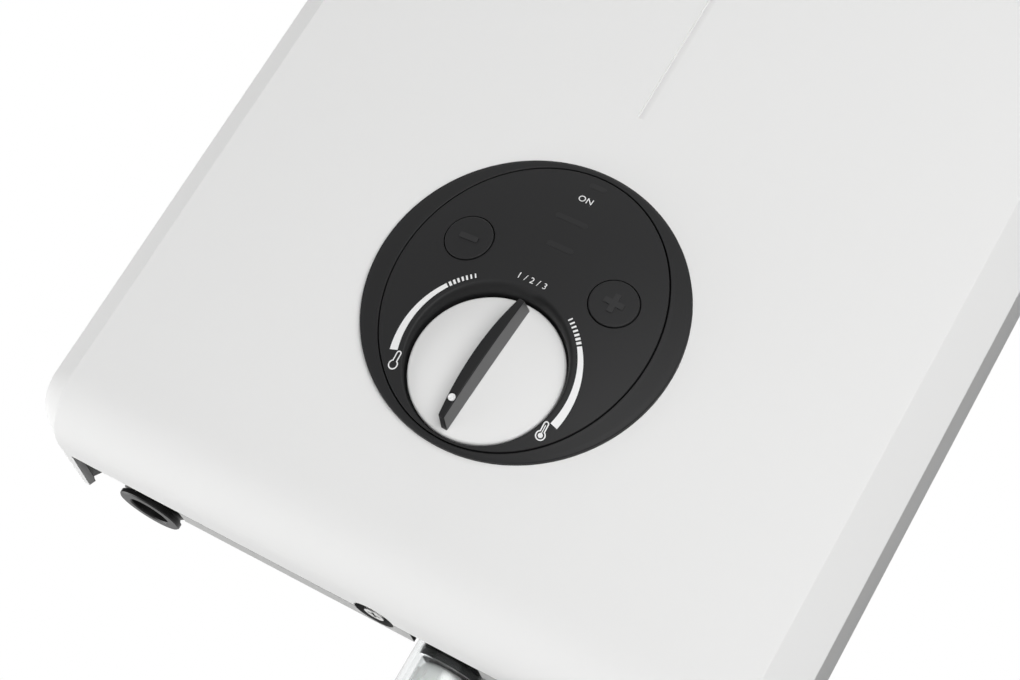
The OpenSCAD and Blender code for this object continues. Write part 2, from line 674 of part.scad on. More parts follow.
module heating_tank() color("#b8b8b0") difference() {
    union() {
        translate([tank_x, tank_y, tank_z]) cylinder(r = tank_r, h = tank_l);
        translate([tank_x, tank_y, tank_top - 6]) cylinder(r = lid_r, h = 6);
        translate([0, pipe_y, cold_z]) along_x(tube_r, tank_x, tank_x + tank_r + nozzle_l);
        translate([0, pipe_y, hot_z]) along_x(tube_r, tank_x - tank_r - nozzle_l, tank_x);
        block(tank_x - cutout_w / 2, tank_x + cutout_w / 2, pad_y, tank_y, cutout_z - cutout_w / 2, cutout_z + cutout_w / 2);
    }
    translate([tank_x, tank_y, tank_z + 3]) cylinder(r = tank_r - tank_wall, h = tank_l);
    translate([0, pipe_y, cold_z]) along_x(tube_bore, tank_x, tank_x + tank_r + nozzle_l + 1);
    translate([0, pipe_y, hot_z]) along_x(tube_bore, tank_x - tank_r - nozzle_l - 1, tank_x);
    lid_bolts() translate([0, 0, tank_top - 7]) cylinder(r = lid_screw_r + shaft_fit, h = 9);
}
module lid_bolts() for (a = [30:60:330]) translate([tank_x + lid_pcd_r * cos(a), tank_y + lid_pcd_r * sin(a), 0]) children();
module tank_seal() color("black") translate([tank_x, tank_y, tank_top])
    ring(lid_pcd_r - lid_screw_r - 0.5, tank_r - tank_wall, lid_seal_t);
module tank_lid() color("silver") difference() {
    translate([tank_x, tank_y, lid_z]) cylinder(r = lid_r, h = lid_t);
    lid_bolts() translate([0, 0, lid_z - 1]) cylinder(r = lid_screw_r + 0.2, h = lid_t + 2);
    element_legs() translate([0, 0, lid_z - 1]) cylinder(r = element_r + shaft_fit, h = lid_t + 2);
}
module element_legs() for (x = [-1:1], s = [-1, 1])
    translate([tank_x + x * element_pitch, tank_y + s * element_gap, 0]) children();
module lid_screws() color("silver") lid_bolts() {
    translate([0, 0, tank_top - 5]) cylinder(r = lid_screw_r, h = lid_z + lid_t - tank_top + 5);
    translate([0, 0, lid_z + lid_t]) cylinder(r = lid_screw_r + 1.5, h = 3);
}
module heating_elements() color("darkgray") {
    low = tank_z + 16;
    element_legs() translate([0, 0, low]) cylinder(r = element_r, h = element_top - low);
    for (x = [-1:1]) translate([tank_x + x * element_pitch, tank_y, low]) rotate([0, 90, 0]) rotate(-90)
        rotate_extrude(angle = 180) translate([element_gap, 0]) circle(r = element_r);
}
module tank_straps() color("silver") for (z = strap_places) translate([tank_x, tank_y, z - strap_h / 2]) {
    r = tank_r + 0.1;
    rotate(180) rotate_extrude(angle = 180) translate([r, 0]) square([strap_t, strap_h]);
    for (s = [-1, 1]) {
        translate([s > 0 ? r : -r - strap_t, 0, 0]) cube([strap_t, -plate_wall - tank_y, strap_h]);
        translate([s > 0 ? r : -r - strap_t - 10, -plate_wall - tank_y - strap_t, 0])
            cube([strap_t + 10, strap_t, strap_h]);
    }
}
module temperature_probe() color("black") translate([outlet_x, pipe_y, hot_z - 60]) difference() {
    union() {
        cylinder(r = tube_r + 2, h = 10);
        translate([tube_r, -3, 0]) cube([8, 6, 10]);
    }
    translate([0, 0, -1]) cylinder(r = tube_r + shaft_fit, h = 12);
}
module thermal_cutout() color("#4a3a30") difference() {
    block(tank_x - cutout_w / 2, tank_x + cutout_w / 2, pad_y - cutout_d, pad_y,
        cutout_z - cutout_w / 2 + 1, cutout_z + cutout_w / 2 - 1);
    translate([tank_x, 0, cutout_z]) along_y(reset_r + shaft_fit, pad_y - cutout_d - 1, pad_y - cutout_d + 4);
}
module reset_button() color("firebrick") translate([tank_x, 0, cutout_z])
    along_y(reset_r, pad_y - cutout_d - 3, pad_y - cutout_d + 4 - reset_travel - 0.2);

// Electrics
module power_board() color("darkgreen") difference() {
    union() {
        block(power_x - power_w / 2, power_x + power_w / 2, power_y - board_t, power_y,
            power_z - power_h / 2, power_z + power_h / 2);
        for (z = [-36, -16, 28]) block(power_x - 20, power_x - 4, power_y - board_t - 12, power_y - board_t + 0.2,
            power_z + z, power_z + z + 15);
    }
    power_corners() along_y(1.5, power_y - board_t - 1, power_y + 1);
}
module power_screws() color("silver") power_corners() {
    along_y(1.2, power_y - board_t, power_y + standoff_h - 1);
    along_y(2.6, power_y - board_t - 1.8, power_y - board_t);
}
module heat_sink() color("silver")
    translate([power_x + 4, power_y - board_t, power_z - 30]) {
        translate([0, -3, 0]) cube([20, 3, 44]);
        for (x = [0:4.4:17.6]) translate([x, -12, 0]) cube([2.4, 9.5, 44]);
    }
module terminal_block() color("ivory") translate([terminal_x - terminal_w / 2, -plate_wall - terminal_d, floor_z + 2]) difference() {
    cube([terminal_w, terminal_d, terminal_h]);
    for (i = [0.5:2.5]) translate([i * terminal_w / 3, 0, terminal_h / 2]) {
        along_y(3.2, -1, 6);
        translate([0, 10, -terminal_h / 2 - 1]) cylinder(r = 2.4, h = 8);
        translate([0, 10, terminal_h / 2 - 6]) cylinder(r = lead_r + shaft_fit, h = 8);
    }
}
module terminal_screws() color("silver") translate([terminal_x - terminal_w / 2, -plate_wall - terminal_d, floor_z + 2])
    for (i = [0.5:2.5]) translate([i * terminal_w / 3, 0, terminal_h / 2]) difference() {
        along_y(3, 3, 6);
        cube([5, 7.6, 0.9], center = true);
    }
module cable_grommet() color("black") translate([grommet_x, grommet_y, bay_z]) difference() {
    union() {
        translate([0, 0, -2]) cylinder(r = grommet_neck_r + 2.5, h = 2);
        cylinder(r = grommet_neck_r, h = plate_wall);
        translate([0, 0, plate_wall]) cylinder(r = grommet_neck_r + 2, h = 2);
    }
    translate([0, 0, -3]) cylinder(d = cable_d, h = plate_wall + 6);
}
module supply_leads() color("royalblue") for (i = [0:2]) {
    x = terminal_x + (i - 1) * terminal_w / 3;
    y = -plate_wall - terminal_d + 10;
    el_x = tank_x + (1 - i) * element_pitch;
    el_y = tank_y + element_gap;
    top = element_top + 8 + 4 * i;
    rod([[x, y, floor_z + terminal_h - 3], [x, y, top], [el_x, y, top], [el_x, el_y, top], [el_x, el_y, element_top]],
        lead_r, lead_bend);
}
module bus_bar() color("peru") translate([tank_x, tank_y - element_gap, element_top])
    block(-element_pitch - 5, element_pitch + 5, -4, 4, 0, 1.2);
module return_lead() color("firebrick") {
    x = tank_x - element_pitch;
    y = tank_y - element_gap;
    mid_y = power_y - board_t - 8;
    board_x = power_x + 20;
    top = element_top + 9.2;
    end = power_z + power_h / 2 - 20;
    rod([[x, y, element_top + 1.2], [x, y, top], [board_x, y, top], [board_x, mid_y, top],
        [board_x, mid_y, end], [board_x, power_y - board_t, end]], lead_r, lead_bend);
}
module control_lead() color("gray") {
    y = front_y - board_front + board_t;
    mid_y = y + 14;
    z = dial_z + 26;
    end = power_z - power_h / 2 + 10;
    rod([[-8, y, z], [-8, mid_y, z], [power_x + 18, mid_y, z], [power_x + 18, mid_y, end],
        [power_x + 18, power_y - board_t, end]], lead_r, lead_bend);
}

front_cover();
back_plate();
cover_seal();
cover_screw();
bezel_ring();
control_panel();
minus_button();
plus_button();
knob_disc();
knob_blade();
knob_dot();
knob_shaft();
potentiometer();
control_board();
button_switches();
light_guides();
board_screws();
outlet_spigot();
inlet_fitting();
lock_nuts();
strainer_housing();
strainer_mesh();
strainer_washer();
pump_body();
pump_cap();
impeller();
pump_motor();
pump_pipe();
flow_meter();
flow_rotor();
cold_pipe();
heating_tank();
tank_seal();
tank_lid();
lid_screws();
heating_elements();
tank_straps();
hot_pipe();
temperature_probe();
thermal_cutout();
reset_button();
power_board();
power_screws();
heat_sink();
terminal_block();
terminal_screws();
cable_grommet();
supply_leads();
bus_bar();
return_lead();
control_lead();
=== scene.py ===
"""Looks of a wall-hung instant water heater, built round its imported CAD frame."""

from math import asin, cos, degrees, hypot, pi, radians, sin, sqrt, tau

import bmesh
import bpy
from bpy.props import FloatProperty, FloatVectorProperty, IntProperty, PointerProperty
from mathutils import Matrix, Vector


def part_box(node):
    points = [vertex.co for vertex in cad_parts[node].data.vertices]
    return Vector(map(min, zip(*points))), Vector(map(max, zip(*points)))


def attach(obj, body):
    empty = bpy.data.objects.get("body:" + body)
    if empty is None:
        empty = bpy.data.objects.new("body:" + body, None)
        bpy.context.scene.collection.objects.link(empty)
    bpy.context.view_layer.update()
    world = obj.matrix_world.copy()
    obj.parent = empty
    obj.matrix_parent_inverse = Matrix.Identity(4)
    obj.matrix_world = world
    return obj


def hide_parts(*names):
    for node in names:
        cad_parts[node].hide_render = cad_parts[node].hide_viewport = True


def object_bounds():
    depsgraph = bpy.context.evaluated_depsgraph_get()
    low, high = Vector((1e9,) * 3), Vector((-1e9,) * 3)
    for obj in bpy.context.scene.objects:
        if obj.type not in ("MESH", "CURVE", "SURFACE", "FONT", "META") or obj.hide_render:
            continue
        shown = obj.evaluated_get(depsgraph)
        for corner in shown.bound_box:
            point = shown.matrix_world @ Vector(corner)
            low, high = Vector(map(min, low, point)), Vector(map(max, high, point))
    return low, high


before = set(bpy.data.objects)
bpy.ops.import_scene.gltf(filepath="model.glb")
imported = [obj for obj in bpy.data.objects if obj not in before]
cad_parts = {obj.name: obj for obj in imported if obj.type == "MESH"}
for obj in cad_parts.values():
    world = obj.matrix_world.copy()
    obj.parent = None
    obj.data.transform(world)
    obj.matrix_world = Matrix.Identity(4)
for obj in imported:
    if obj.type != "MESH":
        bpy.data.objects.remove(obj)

bl_info = {
    "name": "Instant Water Heater",
    "version": (1, 0, 0),
    "blender": (4, 5, 0),
    "location": "View3D > Sidebar > Heater",
    "description": "Builds the looks of a wall-hung instant water heater round its CAD frame",
    "category": "Object",
}

MM = 0.001
CAD_BOX = [list(corner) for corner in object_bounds()]
COVER_LOW, COVER_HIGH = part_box("front_cover")
BEZEL_LOW, BEZEL_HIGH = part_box("bezel_ring")

# Sizes of the casing, in millimetres
FRONT_Y = COVER_LOW.y / MM
BACK_Y = COVER_HIGH.y / MM
HALF_W = COVER_HIGH.x / MM
HALF_H = COVER_HIGH.z / MM
EDGE_BEVEL = 10.6
BEND_R = 18.0
SIDE_BEND = 12.0
SIDE_DRAFT = 4.5
RIM_Y = FRONT_Y + 24.5
COVER_WALL = 2.5
HEEL_CUT = 11.0
NOTCH_R = 6.5
GROOVE_LOW = 69.3
GROOVE_TOP = 24.0

# Sizes of the dial, in millimetres from its centre on the flat front
DIAL_Z = (BEZEL_LOW.z + BEZEL_HIGH.z) / 2 / MM
BEZEL_R = 47.8
BOSS_R = 46.6
BOSS_Z = -4.0
DOME_R = 195.0
DOME_RISE = 7.7
PANEL_A, PANEL_B = 40.3, 45.6
PANEL_DROP = 0.2
PANEL_GAP = 0.35
PANEL_WALL = 2.5
PANEL_BACK = -6.0
KNOB_DROP = 21.8
KNOB_R = 22.8
KNOB_RISE = 2.2
KNOB_CROWN = 3.0
FACE_R = 22.05
KNOB_BACK = -0.7
CUP_R = 23.5
CUP_FLOOR = -1.0
CUP_LIP = 1.9
HUB_R = 5.0
SHAFT_R = 3.05
BLADE_L = 42.6
BLADE_W = 3.8
BLADE_RISE = 13.5
BLADE_FALL = 3.4
BLADE_TURN = 3.5
DOT_REACH = 14.6
DOT_R = 1.1
BUTTON_R = 7.25
BUTTON_X, BUTTON_Y = 23.9, 10.6
BUTTON_PROUD = 0.35
BUTTON_GAP = 0.35
SCALE_R = 27.2

# Sizes of the water ends, in millimetres
PIPE_Y = -32.5
OUTLET_X = -86.0
INLET_X = 21.5
THREAD_R = 10.48
BAY_Z = -171.0
FLOOR_Z = -168.0
NUT_T = 4.0
LIP_T = 3.2


def length(name, description, value):
    return FloatProperty(name=name, description=description, default=value, unit="LENGTH")


def colour(name, description, value):
    return FloatVectorProperty(
        name=name, description=description, subtype="COLOR", size=3, default=value, min=0.0, max=1.0
    )


class HeaterSizes(bpy.types.PropertyGroup):
    """Sizes that the finish of the heater is made to"""

    soft_edge: length("Soft edge", "Rounding of the cover's edges", 0.0012)
    groove_width: length("Groove width", "Width of the groove in the cover", 0.0027)
    groove_depth: length("Groove depth", "Depth of the groove in the cover", 0.0008)
    print_height: length("Print height", "Thickness of the printed marks", 0.00004)
    tick_count: IntProperty(name="Ticks", description="Ticks at the end of each scale", default=7, min=1)
    tick_step: FloatProperty(
        name="Tick step", description="Angle from tick to tick", default=radians(2.65), subtype="ANGLE"
    )
    thread_pitch: length("Thread pitch", "Pitch of the pipe thread", 0.001814)
    thread_depth: length("Thread depth", "Depth of the pipe thread", 0.00116)


class HeaterColours(bpy.types.PropertyGroup):
    """Colours of the heater's finishes"""

    cover: colour("Cover", "White of the cover", (0.83, 0.83, 0.825))
    # Also painted shade: this tone darkens the cover's inside above the rim and the screw tab in its recess.
    inside: colour("Inside", "Unpainted dark grey inside the cover", (0.034, 0.034, 0.034))
    plate: colour("Back plate", "Dark grey of the back plate", (0.05, 0.05, 0.05))
    lip: colour("Lip", "Pale grey of the lip under the cover", (0.44, 0.44, 0.435))
    panel: colour("Panel", "Black of the control panel", (0.015, 0.015, 0.0155))
    bezel: colour("Bezel", "Black of the ring round the panel", (0.0135, 0.0135, 0.014))
    blade: colour("Blade", "Black of the blade", (0.011, 0.011, 0.0115))
    # Painted sheen: the blade's sides are lighter to stand in for the light they catch.
    flank_sheen: colour("Flanks", "Grey of the blade's sides", (0.12, 0.12, 0.121))
    disc: colour("Disc", "White of the turning disc", (0.80, 0.80, 0.795))
    marks: colour("Marks", "White of the printed marks", (0.82, 0.82, 0.82))
    # Painted sheen: the raised plus and minus are lighter to stand in for their gloss.
    signs: colour("Signs", "Grey of the raised plus and minus", (0.024, 0.024, 0.0245))
    windows: colour("Windows", "Grey of the unlit light windows", (0.0165, 0.0165, 0.017))
    fitting: colour("Fittings", "Black of the pipe ends", (0.012, 0.012, 0.012))


# Mesh helpers


def at_dial(x, y, z):
    """A point given from the dial's centre: x right, y up, z towards the user, in millimetres."""
    return Vector((x, FRONT_Y - z, DIAL_Z + y)) * MM


def at_knob(x, y, z):
    return at_dial(x, y - KNOB_DROP, z)


def dome_z(x, y, radius=DOME_R):
    """Height of the dome over the flat front."""
    return DOME_RISE - DOME_R + sqrt(radius * radius - x * x - y * y)


def placed(name, data):
    """A new object in the scene."""
    obj = bpy.data.objects.new(name, data)
    bpy.context.scene.collection.objects.link(obj)
    return obj


def filled(bm, name):
    """A new object with the mesh of a bmesh."""
    mesh = bpy.data.meshes.new(name)
    bm.to_mesh(mesh)
    bm.free()
    return placed(name, mesh)


def piece_of(bm, name):
    """A piece with its points welded and its faces outward."""
    bmesh.ops.remove_doubles(bm, verts=bm.verts, dist=1e-7)
    bmesh.ops.recalc_face_normals(bm, faces=bm.faces)
    return filled(bm, name)


def final_mesh(obj):
    """Mesh of an object with its modifiers, or of a text."""
    bpy.context.view_layer.update()
    graph = bpy.context.evaluated_depsgraph_get()
    return bpy.data.meshes.new_from_object(obj.evaluated_get(graph))


def made_plain(obj):
    """Turns the object's modifiers into its mesh."""
    mesh = final_mesh(obj)
    obj.modifiers.clear()
    obj.data = mesh
    return obj


def joined(obj, other, operation="DIFFERENCE"):
    """Cuts another closed mesh out of a piece, or adds it."""
    cut = obj.modifiers.new("Cut", "BOOLEAN")
    cut.operation = operation
    cut.solver = "EXACT"
    cut.object = other
    made_plain(obj)
    bpy.data.objects.remove(other)
    return obj


def welded(obj):
    """Joins points that lie on top of each other after a cut."""
    bm = bmesh.new()
    bm.from_mesh(obj.data)
    bmesh.ops.remove_doubles(bm, verts=bm.verts, dist=0.0003 * MM)
    bm.to_mesh(obj.data)
    bm.free()


def rounded(obj, width, segments, angle):
    """Rounds the edges sharper than an angle in degrees."""
    bevel = obj.modifiers.new("Round", "BEVEL")
    bevel.width = width * MM
    bevel.segments = segments
    bevel.limit_method = "ANGLE"
    bevel.angle_limit = radians(angle)
    return made_plain(obj)


def smoothed(obj, angle):
    """Smooth shading that breaks at edges sharper than an angle in degrees."""
    obj.data.shade_smooth()
    obj.data.set_sharp_from_angle(angle=radians(angle))
    normals = obj.modifiers.new("Normals", "WEIGHTED_NORMAL")
    normals.keep_sharp = True
    return made_plain(obj)


def round_angles(count):
    return [tau * i / count for i in range(count)]


def quarter(steps):
    """Angles from nothing to a quarter turn."""
    return [radians(90 * i / steps) for i in range(steps + 1)]


def skinned(name, rows, closed=False):
    """A piece with faces between rows of points; every row is a closed ring, or one point."""
    bm = bmesh.new()
    made = [[bm.verts.new(p) for p in row] for row in rows]
    pairs = list(zip(made, made[1:]))
    if closed:
        pairs.append((made[-1], made[0]))
    for low, high in pairs:
        count = max(len(low), len(high))
        for i in range(count):
            j = (i + 1) % count
            corners = []
            for v in (low[i % len(low)], low[j % len(low)], high[j % len(high)], high[i % len(high)]):
                if v not in corners:
                    corners.append(v)
            if len(corners) > 2:
                bm.faces.new(corners)
    return piece_of(bm, name)


def turned(name, profile, place, segments=128):
    """A turned piece: profile rows of (radius, height)."""
    rows = []
    for r, z in profile:
        angles = round_angles(segments if r > 1e-6 else 1)
        rows.append([place(r * cos(a), r * sin(a), z) for a in angles])
    return skinned(name, rows)


def plug(name, radius, low, high, place, segments=128):
    """A plain cylinder to cut a hole with."""
    return turned(name, [(0, low), (radius, low), (radius, high), (0, high)], place, segments)


def arc(cx, cy, r, first, last, steps):
    """Points on an arc, angles in degrees."""
    return [
        (cx + r * cos(radians(a)), cy + r * sin(radians(a)))
        for a in (first + (last - first) * i / steps for i in range(steps + 1))
    ]


def prism(name, outline, low, high, place):
    """A flat outline drawn out from one height to another."""
    bm = bmesh.new()
    ends = [[bm.verts.new(place(u, v, height)) for u, v in outline] for height in (low, high)]
    for end in ends:
        bm.faces.new(end)
    for i in range(len(outline)):
        j = (i + 1) % len(outline)
        bm.faces.new((ends[0][i], ends[0][j], ends[1][j], ends[1][i]))
    return piece_of(bm, name)


def at_rim(x, y, z):
    """A point given from the middle of the cover's bottom rim, in millimetres."""
    return Vector((x, RIM_Y + y, z - HALF_H)) * MM


def finished(obj, body, material, slot, *nodes):
    """Gives a piece its finish and its place among the bodies."""
    obj.data.materials.clear()
    obj.data.materials.append(material)
    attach(obj, body)
    if nodes:
        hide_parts(*nodes)
    return obj


def dressed(name, material):
    """Gives a CAD node its finish."""
    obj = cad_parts[name]
    obj.data.materials.clear()
    obj.data.materials.append(material)


def mark_faces(obj, name, rule):
    """Keeps a number on each face, under a name that its material reads."""
    mark = obj.data.attributes.new(name, "FLOAT", "FACE")
    for face in obj.data.polygons:
        mark.data[face.index].value = float(rule(face))


# Finishes


def node(tree, kind, inputs=None, **settings):
    """Adds a node, with a value or a socket to link from for each input."""
    made = tree.nodes.new(kind)
    for name, value in settings.items():
        setattr(made, name, value)
    for key, value in (inputs or {}).items():
        if isinstance(value, bpy.types.NodeSocket):
            tree.links.new(value, made.inputs[key])
        else:
            made.inputs[key].default_value = value
    return made


def maths(tree, operation, *values):
    """Socket with the sum, product or test of sockets and numbers."""
    return node(tree, "ShaderNodeMath", dict(enumerate(values)), operation=operation).outputs[0]


def noise(tree, where, scale, detail):
    values = {"Vector": where, "Scale": scale, "Detail": detail}
    return node(tree, "ShaderNodeTexNoise", values).outputs["Fac"]


def shader_group(name, inputs):
    """A group with named inputs that puts out a colour, a roughness and a height."""
    group = bpy.data.node_groups.new(name, "ShaderNodeTree")
    for label, value in inputs.items():
        kind = "NodeSocketFloat" if isinstance(value, float) else "NodeSocketColor"
        group.interface.new_socket(label, in_out="INPUT", socket_type=kind).default_value = value
    for label, kind in (("Colour", "Color"), ("Roughness", "Float"), ("Height", "Float")):
        group.interface.new_socket(label, in_out="OUTPUT", socket_type="NodeSocket" + kind)
    return group, node(group, "NodeGroupInput").outputs, node(group, "ShaderNodeTexCoord").outputs["Object"]


def put_out(group, colour, shade, roughness, height):
    """Links a shaded colour, a roughness and a height to the group's outputs."""
    tint = node(group, "ShaderNodeVectorMath", {0: colour, "Scale": shade}, operation="SCALE").outputs[0]
    node(group, "NodeGroupOutput", {"Colour": tint, "Roughness": roughness, "Height": height})
    return group


def moulded_group():
    """Slow drift of shade and fine grain of a moulded plastic."""
    name = "Moulded grain"
    if name in bpy.data.node_groups:
        return bpy.data.node_groups[name]
    inputs = {"Colour": (0.5, 0.5, 0.5, 1.0), "Drift": 0.04, "Roughness": 0.4, "Grain size": 900.0}
    group, start, where = shader_group(name, inputs)
    slow = maths(group, "SUBTRACT", noise(group, where, 14.0, 3.0), 0.5)
    fine = noise(group, where, start["Grain size"], 2.0)
    shade = maths(group, "MULTIPLY_ADD", slow, start["Drift"], 1.0)
    roughness = maths(group, "MULTIPLY_ADD", slow, 0.12, start["Roughness"])
    return put_out(group, start["Colour"], shade, roughness, fine)


def drawn_group():
    """Long fine lines of drawn or brushed metal along Z."""
    name = "Drawn lines"
    if name in bpy.data.node_groups:
        return bpy.data.node_groups[name]
    group, start, where = shader_group(name, {"Colour": (0.6, 0.6, 0.6, 1.0), "Roughness": 0.3})
    stretch = node(group, "ShaderNodeMapping", {"Vector": where, "Scale": (1.0, 1.0, 0.04)}).outputs[0]
    lines = noise(group, stretch, 1400.0, 3.0)
    shade = node(group, "ShaderNodeMapRange", {"Value": lines, "To Min": 0.85, "To Max": 1.1}).outputs[0]
    return put_out(group, start["Colour"], shade, maths(group, "MULTIPLY", start["Roughness"], shade), lines)


def finish(name, group, values, bump, sockets):
    """A material whose colour, roughness and relief come from a shared group."""
    name += "_finish"
    if name in bpy.data.materials:
        return bpy.data.materials[name]
    material = bpy.data.materials.new(name)
    material.use_nodes = True
    tree = material.node_tree
    shader = tree.nodes["Principled BSDF"].inputs
    grain = node(tree, "ShaderNodeGroup", values, node_tree=group).outputs
    relief = node(tree, "ShaderNodeBump", {"Strength": 1.0, "Distance": bump, "Height": grain["Height"]})
    tree.links.new(grain["Colour"], shader["Base Color"])
    tree.links.new(grain["Roughness"], shader["Roughness"])
    tree.links.new(relief.outputs["Normal"], shader["Normal"])
    for label, value in sockets.items():
        shader[label].default_value = value
    return material


def plastic(name, tone, roughness, drift=0.04, grain=900.0, bump=0.000004, **sockets):
    values = {"Colour": (*tone, 1.0), "Roughness": roughness, "Drift": drift, "Grain size": grain}
    named = {label.replace("_", " "): value for label, value in sockets.items()}
    return finish(name, moulded_group(), values, bump, named)


def dark_plastic(name, tone, roughness):
    """Satin black moulding with a fine even grain."""
    return plastic(name, tone, roughness, drift=0.09, grain=2200.0, bump=0.000002, Specular_IOR_Level=0.16)


def metal(name, tone, roughness):
    values = {"Colour": (*tone, 1.0), "Roughness": roughness}
    return finish(name, drawn_group(), values, 0.000004, {"Metallic": 1.0})


def clear_plastic():
    """Clear moulded plastic with a faint ripple."""
    looks = {"drift": 0.02, "grain": 220.0, "bump": 0.00002, "Transmission_Weight": 1.0, "IOR": 1.49}
    return plastic("clear_plastic", (0.93, 0.95, 0.95), 0.12, **looks)


def rubber_black():
    return plastic("rubber_black", (0.02, 0.02, 0.02), 0.7, drift=0.2, grain=700.0, bump=0.00001)


def bare_steel():
    return metal("steel", (0.62, 0.62, 0.61), 0.28)


def print_white(tones):
    return plastic("print_white", tones.marks, 0.5, drift=0.03)


def upright(tree, vector):
    """The part of a vector along Z."""
    return node(tree, "ShaderNodeSeparateXYZ", {0: vector}).outputs["Z"]


def level(tree, height):
    """Height above a level, in the object's own frame."""
    where = node(tree, "ShaderNodeTexCoord").outputs["Object"]
    return maths(tree, "SUBTRACT", upright(tree, where), height)


def underside(tree, height):
    """Mask of the faces below a height that look down."""
    normal = node(tree, "ShaderNodeNewGeometry").outputs["Normal"]
    low = maths(tree, "LESS_THAN", level(tree, height), 0.0)
    return maths(tree, "MULTIPLY", low, maths(tree, "LESS_THAN", upright(tree, normal), -0.5))


def marked(tree, name):
    """Number kept on each face under a name."""
    return node(tree, "ShaderNodeAttribute", attribute_name=name).outputs["Fac"]


def second_tone(material, tone, mask, *values):
    """Gives a material another tone where a mask, made with its values, is 1."""
    tree = material.node_tree
    first = next(made for made in tree.nodes if made.type == "GROUP").inputs["Colour"]
    tones = {0: mask(tree, *values), 6: first.default_value, 7: (*tone, 1.0)}
    tree.links.new(node(tree, "ShaderNodeMix", tones, data_type="RGBA").outputs[2], first)


# Casing


class HEATER_OT_cover(bpy.types.Operator):
    """Builds the white cover with its soft bevels, groove and screw tab"""

    bl_idname = "heater.cover"
    bl_label = "Cover"

    def execute(self, context):
        sizes = context.scene.heater_sizes
        tones = context.scene.heater_colours
        soft = sizes.soft_edge / MM
        cover = self.form("cover_shell", soft, BACK_Y)
        joined(cover, self.form("cover_hollow", 0.0, BACK_Y + 2, COVER_WALL))
        near = HALF_W - EDGE_BEVEL - 2.2
        far = HALF_W - SIDE_DRAFT - COVER_WALL
        depth = BACK_Y - RIM_Y + 1
        bay = [(-near, 0), (near, 0), (far, depth), (-far, depth)]
        for cut in (
            prism("bay", bay, -5, BEND_R, at_rim),
            plug("notch", NOTCH_R, -1, 3.5, at_rim, 96),
            self.heel(),
            plug("hole", BOSS_R + 0.3, -6, 6, at_dial),
            self.groove(sizes),
        ):
            joined(cover, cut)
        joined(cover, self.tab(), "UNION")
        smoothed(cover, 22)
        white = plastic(
            "cover_white", tones.cover, 0.6, drift=0.012, grain=1500.0, bump=0.000002, Specular_IOR_Level=0.05
        )
        # The inside tone is dark unpainted plastic and also painted shade: it grows with height above the rim
        # for the rim's shadow, and fills the screw tab as painted shadow.
        second_tone(white, tones.inside, self.unpainted_and_shaded)
        mark_faces(cover, "bare_and_shade", self.bare_and_shade_rate)
        finished(cover, "casing", white, "cover_white", "front_cover")
        return {"FINISHED"}

    def unpainted_and_shaded(self, tree):
        """Mask of the dark inside tone, which rises above the lower rim at each face's own rate: unpainted
        plastic, with its rise painted shade under the rim.
        """
        return maths(tree, "MULTIPLY", level(tree, -HALF_H * MM), marked(tree, "bare_and_shade"))

    def bare_and_shade_rate(self, face):
        """How fast the dark inside tone comes in: at once on the screw tab, as painted shadow in its recess,
        and slowly on faces that look in, as painted shade under the rim.
        """
        x, y, z = face.center / MM
        # Painted shadow: the screw tab takes the dark tone at once, for the shade in its recess.
        if hypot(x, y - RIM_Y) < NOTCH_R + 2.1 and 2 < z + HALF_H < COVER_WALL + 2.4:
            return 1000
        middle = Vector((0, (FRONT_Y + BACK_Y) / 2, 0)) * MM
        looks_in = (face.center - middle).dot(face.normal) < 0
        return 90 if looks_in and y > FRONT_Y + COVER_WALL / 2 else 0

    def form(self, name, soft, back, inset=0.0):
        """The cover's outer form, with its edges rounded by a ball of the soft edge's radius."""
        eaten = inset + soft
        corner = eaten * (sqrt(2) - 1)
        points = []
        bend, side_bend = BEND_R - eaten, SIDE_BEND - eaten
        top = HALF_H - eaten
        side_y = FRONT_Y + EDGE_BEVEL + corner
        slope = SIDE_DRAFT / (BACK_Y - FRONT_Y - EDGE_BEVEL)
        for side in (-1, 1):
            for end in (-1, 1):
                for a in quarter(30):
                    y = FRONT_Y + eaten + bend * (1 - cos(a))
                    z = top - bend * (1 - sin(a))
                    points.append((side * (HALF_W - EDGE_BEVEL - corner), y, end * z))
                for a in quarter(18):
                    y = side_y + side_bend * (1 - cos(a))
                    z = HALF_H - BEND_R + side_bend * sin(a)
                    points.append((side * (HALF_W - eaten - slope * (y - side_y)), y, end * z))
                x = HALF_W - SIDE_DRAFT - eaten - slope * (back - BACK_Y)
                points.append((side * x, back, end * top))
        ball = [Vector((0, 0, 0))]
        if soft > 0:
            sphere = bmesh.new()
            bmesh.ops.create_icosphere(sphere, subdivisions=3, radius=soft)
            ball = [v.co.copy() for v in sphere.verts]
            sphere.free()
        bm = bmesh.new()
        for p in points:
            for b in ball:
                bm.verts.new((Vector(p) + b) * MM)
        hull = bmesh.ops.convex_hull(bm, input=bm.verts)
        loose = [g for g in hull["geom_interior"] + hull["geom_unused"] if isinstance(g, bmesh.types.BMVert)]
        bmesh.ops.delete(bm, geom=list(set(loose)), context="VERTS")
        every = bm.verts[:] + bm.edges[:] + bm.faces[:]
        bmesh.ops.bisect_plane(bm, geom=every, plane_co=(0, back * MM, 0), plane_no=(0, 1, 0), clear_outer=True)
        rim = [e for e in bm.edges if e.is_boundary]
        bmesh.ops.contextual_create(bm, geom=rim)
        bmesh.ops.dissolve_limit(bm, angle_limit=radians(0.15), verts=bm.verts, edges=bm.edges)
        return piece_of(bm, name)

    def heel(self):
        """Wedge that takes the lower back corner off each side."""
        far = BACK_Y - RIM_Y + 1
        side = [(far - HEEL_CUT - 2, -1), (far, -1), (far, HEEL_CUT + 1)]
        return prism("heel", side, -HALF_W - 2, HALF_W + 2, lambda y, z, x: at_rim(x, y, z))

